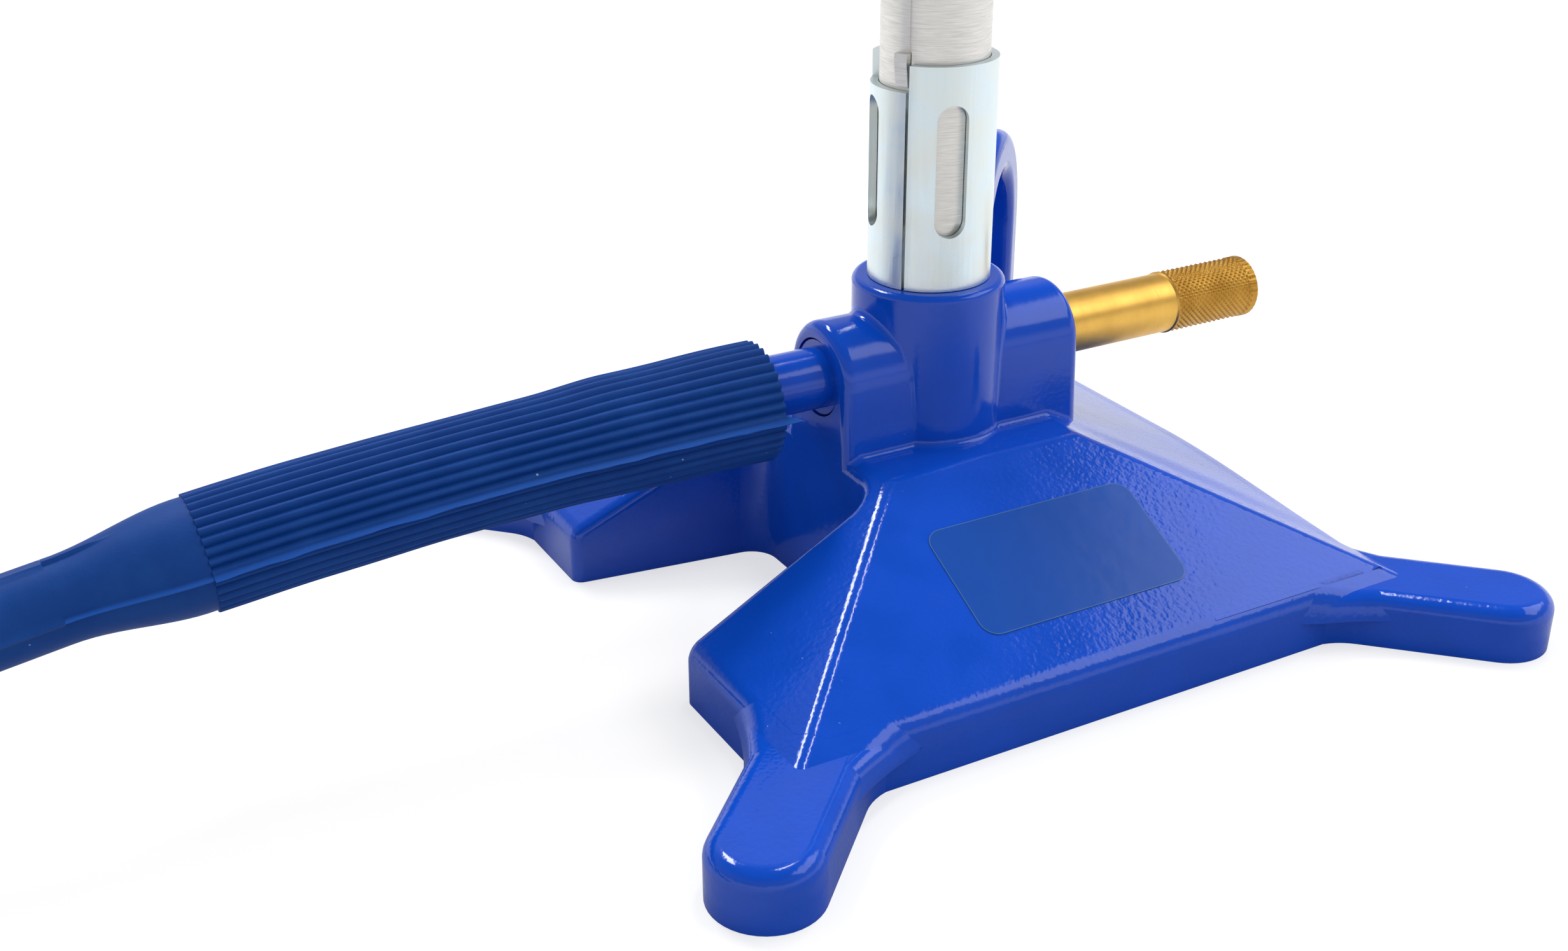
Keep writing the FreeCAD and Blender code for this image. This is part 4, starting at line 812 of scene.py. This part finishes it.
# Places along the spindle and its radii, in millimetres.
KNURL_START, KNURL_END, KNURL_RADIUS = 40.0, 55.0, 4.45
KNURL_LEAD, KNURL_RUN_IN, KNURL_RUN_OUT, KNOB_ROUND, KNOB_FACE, KNURL_STEPS = 0.25, 0.8, 1.2, 1.5, 3.0, 6
SPINDLE = [
    (-7.0, 0.0), (-7.0, 0.4), (-3.5, 1.5), (2.6, 1.5), (2.6, 3.0), (8.0, 3.0), (8.0, 4.25), (9.93, 4.25),
    (9.93, 3.18), (11.07, 3.18), (11.07, 4.25), (13.71, 4.25), (13.71, 3.15), (18.29, 3.15), (18.29, 4.25),
    (KNURL_START, 4.25), (40.2, KNURL_RADIUS), (KNURL_END, KNURL_RADIUS), (KNURL_END, 0.0),
]


def knurl_height(turn, along, count):
    """One on the crests of the diamonds, nought along the grooves of either hand."""
    pitch = 2 * math.pi * KNURL_RADIUS * MM / count
    waves = []
    for hand in (1, -1):
        place = count * turn / (2 * math.pi) + hand * along / pitch
        waves.append(abs(2 * (place - math.floor(place)) - 1))
    return min(waves)


def make_spindle(plain, knurled):
    """Valve spindle turned from one bar, with the knurl cut into its knob."""
    count, depth = sizes().knurl_count, sizes().knurl_depth
    mesh_tool = bmesh.new()
    profile = [mesh_tool.verts.new((x * MM, 0, GAS_LEVEL + radius * MM)) for x, radius in SPINDLE]
    edges = [mesh_tool.edges.new(pair) for pair in zip(profile, profile[1:])]
    pitch = 2 * math.pi * KNURL_RADIUS / count
    rows = int(KNURL_STEPS * (KNURL_END - KNURL_START) / pitch)
    band = edges[SPINDLE.index((KNURL_END, KNURL_RADIUS)) - 1]
    bmesh.ops.subdivide_edges(mesh_tool, edges=[band], cuts=rows)
    bmesh.ops.spin(mesh_tool, geom=mesh_tool.verts[:] + mesh_tool.edges[:], cent=(0, 0, GAS_LEVEL), axis=(1, 0, 0),
                   angle=2 * math.pi, steps=count * KNURL_STEPS, use_merge=True)
    bmesh.ops.remove_doubles(mesh_tool, verts=mesh_tool.verts, dist=1e-7)
    bmesh.ops.recalc_face_normals(mesh_tool, faces=mesh_tool.faces)
    rim = [edge for edge in mesh_tool.edges
           if all(abs(v.co.x - KNURL_END * MM) < 1e-6 for v in edge.verts)
           and all((v.co - Vector((v.co.x, 0, GAS_LEVEL))).length > 0.99 * KNURL_RADIUS * MM for v in edge.verts)]
    bmesh.ops.bevel(mesh_tool, geom=rim, offset=KNOB_ROUND * MM, offset_type="OFFSET", segments=7, profile=0.5,
                    affect="EDGES", material=-1, clamp_overlap=False)
    for vertex in mesh_tool.verts:
        along = vertex.co.x - KNURL_START * MM
        arm = Vector((0, vertex.co.y, vertex.co.z - GAS_LEVEL))
        if along < KNURL_LEAD * MM or arm.length < KNOB_FACE * MM:
            continue
        fade = min(1.0, along / (KNURL_RUN_IN * MM), max(0.0, (KNURL_END * MM - vertex.co.x) / (KNURL_RUN_OUT * MM)))
        height = knurl_height(math.atan2(arm.y, arm.z), along, count)
        vertex.co -= arm.normalized() * depth * fade * (1 - height)
    for face in mesh_tool.faces:
        face.material_index = 1 if face.calc_center_median().x > (KNURL_START + 0.1) * MM else 0
    shade_smooth(mesh_tool, 40)
    piece = new_piece("valve_knob", mesh_tool, [plain, knurled], "valve")
    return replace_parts(piece, "valve_spindle")


# Stage

def soft_box(name, target, direction, distance, size, watts, along=(0, 0, 1)):
    """Rectangular lamp that faces a point on the object, its second side laid along a direction."""
    lamp = bpy.data.lights.new(name, "AREA")
    lamp.shape = "RECTANGLE"
    lamp.size, lamp.size_y = size
    lamp.energy = watts
    toward = Vector(direction).normalized()
    across = Vector(along).cross(toward).normalized()
    new_object(name, lamp, pose_of(across, toward.cross(across), toward, Vector(target) + toward * distance))


def studio_world():
    """Even light all round. Reflections see a white skirting, a darker wall and a soft window behind."""
    world = bpy.data.worlds.new("studio")
    world.use_nodes = True
    tree = world.node_tree
    tree.nodes.clear()
    heading = add(tree, "ShaderNodeTexCoord").outputs["Generated"]
    height = add(tree, "ShaderNodeSeparateXYZ", {0: heading}).outputs["Z"]
    low = add(tree, "ShaderNodeMapRange", {
        "Value": height, "From Min": 0.12, "From Max": 0.32, "To Min": 1.15, "To Max": 0.32},
        interpolation_type="SMOOTHSTEP")
    high = add(tree, "ShaderNodeMapRange", {
        "Value": height, "From Min": 0.5, "From Max": 0.8, "To Min": 1.0, "To Max": 0.25},
        interpolation_type="SMOOTHSTEP")
    wall = add(tree, "ShaderNodeMath", {0: low.outputs[0], 1: high.outputs[0]}, operation="MULTIPLY")
    toward = add(tree, "ShaderNodeVectorMath", {0: heading, 1: (0.2, 0.78, 0.59)}, operation="DOT_PRODUCT")
    window = add(tree, "ShaderNodeMapRange", {
        "Value": toward.outputs["Value"], "From Min": 0.86, "From Max": 0.97, "To Max": 0.3},
        interpolation_type="SMOOTHSTEP")
    around = add(tree, "ShaderNodeMath", {0: wall.outputs[0], 1: window.outputs[0]}, operation="ADD")
    path = add(tree, "ShaderNodeLightPath")
    mirrored = add(tree, "ShaderNodeMath", {
        0: path.outputs["Is Glossy Ray"], 1: path.outputs["Is Transmission Ray"]}, operation="ADD", use_clamp=True)
    bounced = add(tree, "ShaderNodeMix", {"Factor": mirrored.outputs[0], "A": 0.66, "B": around.outputs[0]})
    strength = add(tree, "ShaderNodeMix", {
        "Factor": path.outputs["Is Camera Ray"], "A": bounced.outputs[0], "B": 1.0})
    sky = add(tree, "ShaderNodeBackground", {"Color": (1, 1, 1, 1), "Strength": strength.outputs[0]})
    add(tree, "ShaderNodeOutputWorld", {"Surface": sky.outputs[0]})
    bpy.context.scene.world = world


TABLE_DROP = 0.02 * MM
# The camera's place in millimetres, its azimuth, elevation and roll, and the photograph's width and focal length.
CAMERA_PLACE, CAMERA_TURN = (-129.3804, -193.2655, 124.131), (-29.0669, 25.4288, -0.2351)
PHOTO_WIDTH, PHOTO_FOCAL, SENSOR_WIDTH = 2464, 2898.7757, 36.0


def photo_camera():
    """Camera at the photograph's place, turned as it was, with its angle of view."""
    azimuth, elevation, roll = map(math.radians, CAMERA_TURN)
    back = Vector((math.sin(azimuth) * math.cos(elevation), -math.cos(azimuth) * math.cos(elevation),
                   math.sin(elevation)))
    right = Vector((math.cos(azimuth), math.sin(azimuth), 0))
    up = back.cross(right)
    tilted = right * math.cos(roll) + up * math.sin(roll)
    upright = up * math.cos(roll) - right * math.sin(roll)
    lens = bpy.data.cameras.new("photo_camera")
    lens.sensor_fit = "HORIZONTAL"
    lens.sensor_width = SENSOR_WIDTH
    lens.lens = PHOTO_FOCAL / PHOTO_WIDTH * SENSOR_WIDTH
    lens.clip_start = 0.01
    pose = pose_of(tilted, upright, back, Vector(CAMERA_PLACE) * MM)
    bpy.context.scene.camera = new_object("photo_camera", lens, pose)


# Operators

class BURNER_OT_stage(bpy.types.Operator):
    """Table, studio light and camera"""
    bl_idname = "burner.stage"
    bl_label = "Stage"

    def execute(self, context):
        context.scene.view_settings.view_transform = "Standard"
        studio_world()
        photo_camera()
        mesh_tool = bmesh.new()
        bmesh.ops.create_grid(mesh_tool, x_segments=8, y_segments=8, size=3.0)
        bmesh.ops.translate(mesh_tool, verts=mesh_tool.verts, vec=(0, 0, -TABLE_DROP))
        table = mesh_object("table", mesh_tool, [pale_table()])
        # Two strips draw the bright lines on the near ridge, and a wide box lights the part from the right.
        ridge = (-0.03, -0.03, 0.014)
        soft_box("strip_overhead", ridge, (0.3, 0.17, 0.94), 1.1, (0.07, 0.42), 1.9, (1, 1, -0.5))
        soft_box("strip_back", ridge, (-0.063, 0.606, 0.793), 1.1, (0.15, 0.42), 4.3, (1, 0.5, -0.3))
        soft_box("box_right", (0.02, -0.03, 0.02), (0.66, -0.25, 0.71), 1.2, (1.1, 0.5), 4.3)
        return {"FINISHED"}


class BURNER_OT_hose(bpy.types.Operator):
    """Free hose with its two cuffs and the tie of its coil"""
    bl_idname = "burner.hose"
    bl_label = "Hose"

    def execute(self, context):
        rubber = moulded_rubber()
        near = make_cuff("near_cuff", "hose_cuff_near", NEAR_CUFF, rubber)
        far = make_cuff("far_cuff", "hose_cuff_far", FAR_CUFF, rubber)
        hose, line, long = make_hose(rubber)
        tie = make_tie(plain_stuff("silicone_band", "#2A2A2C", "#3A3A3C", 0.8, 0.6))
        return {"FINISHED"}


class BURNER_OT_casting(bpy.types.Operator):
    """Enamel on the casting and on the nozzle pressed into it"""
    bl_idname = "burner.casting"
    bl_label = "Casting and nozzle"

    def execute(self, context):
        enamel = gloss_enamel()
        dress("base_casting", enamel)
        make_foot_roots(enamel)
        make_right_panel(enamel)
        dress("inlet_nozzle", enamelled_nozzle())
        return {"FINISHED"}


class BURNER_OT_label(bpy.types.Operator):
    """Bare label on the front panel"""
    bl_idname = "burner.label"
    bl_label = "Label"

    def execute(self, context):
        make_label(satin_film("label_film", colours().label), satin_film("label_cut_edge", colours().label_edge))
        return {"FINISHED"}


class BURNER_OT_tube(bpy.types.Operator):
    """Brushed burner tube, plated air sleeve, and the jet inside them"""
    bl_idname = "burner.tube"
    bl_label = "Tube, sleeve and jet"

    def execute(self, context):
        dress("burner_tube", brushed_tube())
        dress("air_sleeve", bright_zinc())
        dress("gas_jet", turned_brass("turned_brass_jet", 0.2))
        dress("jet_washer", plain_stuff("red_fibre", "#7A2B1E", "#8E3A28", 0.6, 0.7))
        return {"FINISHED"}


class BURNER_OT_valve(bpy.types.Operator):
    """Brass valve with its knurled knob, its seat, sealing ring and retaining pin"""
    bl_idname = "burner.valve"
    bl_label = "Valve"

    def execute(self, context):
        # The knurl is drawn in a darker copy of the same brass, darker all over.
        make_spindle(turned_brass("turned_brass", 0.0), turned_brass("knurled_brass", 0.65))
        dress("valve_seat", turned_brass("turned_brass_seat", 0.2))
        dress("valve_o_ring", plain_stuff("nitrile_rubber", "#161616", "#202020", 0.5, 0.55))
        dress("valve_retaining_pin", plain_stuff("ground_steel", "#A9A9AA", "#B9B9B9", 0.3, 0.3, 1.0))
        return {"FINISHED"}


class BURNER_PT_panel(bpy.types.Panel):
    """Buttons and values of the burner"""
    bl_label = "Gas burner"
    bl_idname = "BURNER_PT_panel"
    bl_space_type = "VIEW_3D"
    bl_region_type = "UI"
    bl_category = "Burner"

    def draw(self, context):
        for operator in OPERATORS:
            self.layout.operator(operator.bl_idname)
        for group in (context.scene.burner_sizes, context.scene.burner_colours):
            for name in group.bl_rna.properties.keys():
                if name not in ("rna_type", "name"):
                    self.layout.prop(group, name)


OPERATORS = (BURNER_OT_stage, BURNER_OT_hose, BURNER_OT_casting, BURNER_OT_label, BURNER_OT_tube, BURNER_OT_valve)
CLASSES = (BurnerColours, BurnerSizes, *OPERATORS, BURNER_PT_panel)


def register():
    for item in CLASSES:
        bpy.utils.register_class(item)
    bpy.types.Scene.burner_colours = bpy.props.PointerProperty(type=BurnerColours)
    bpy.types.Scene.burner_sizes = bpy.props.PointerProperty(type=BurnerSizes)


def unregister():
    del bpy.types.Scene.burner_sizes
    del bpy.types.Scene.burner_colours
    for item in reversed(CLASSES):
        bpy.utils.unregister_class(item)


def main():
    register()
    bpy.ops.burner.stage()
    bpy.ops.burner.hose()
    bpy.ops.burner.casting()
    bpy.ops.burner.label()
    bpy.ops.burner.tube()
    bpy.ops.burner.valve()


if __name__ == "__main__":
    main()
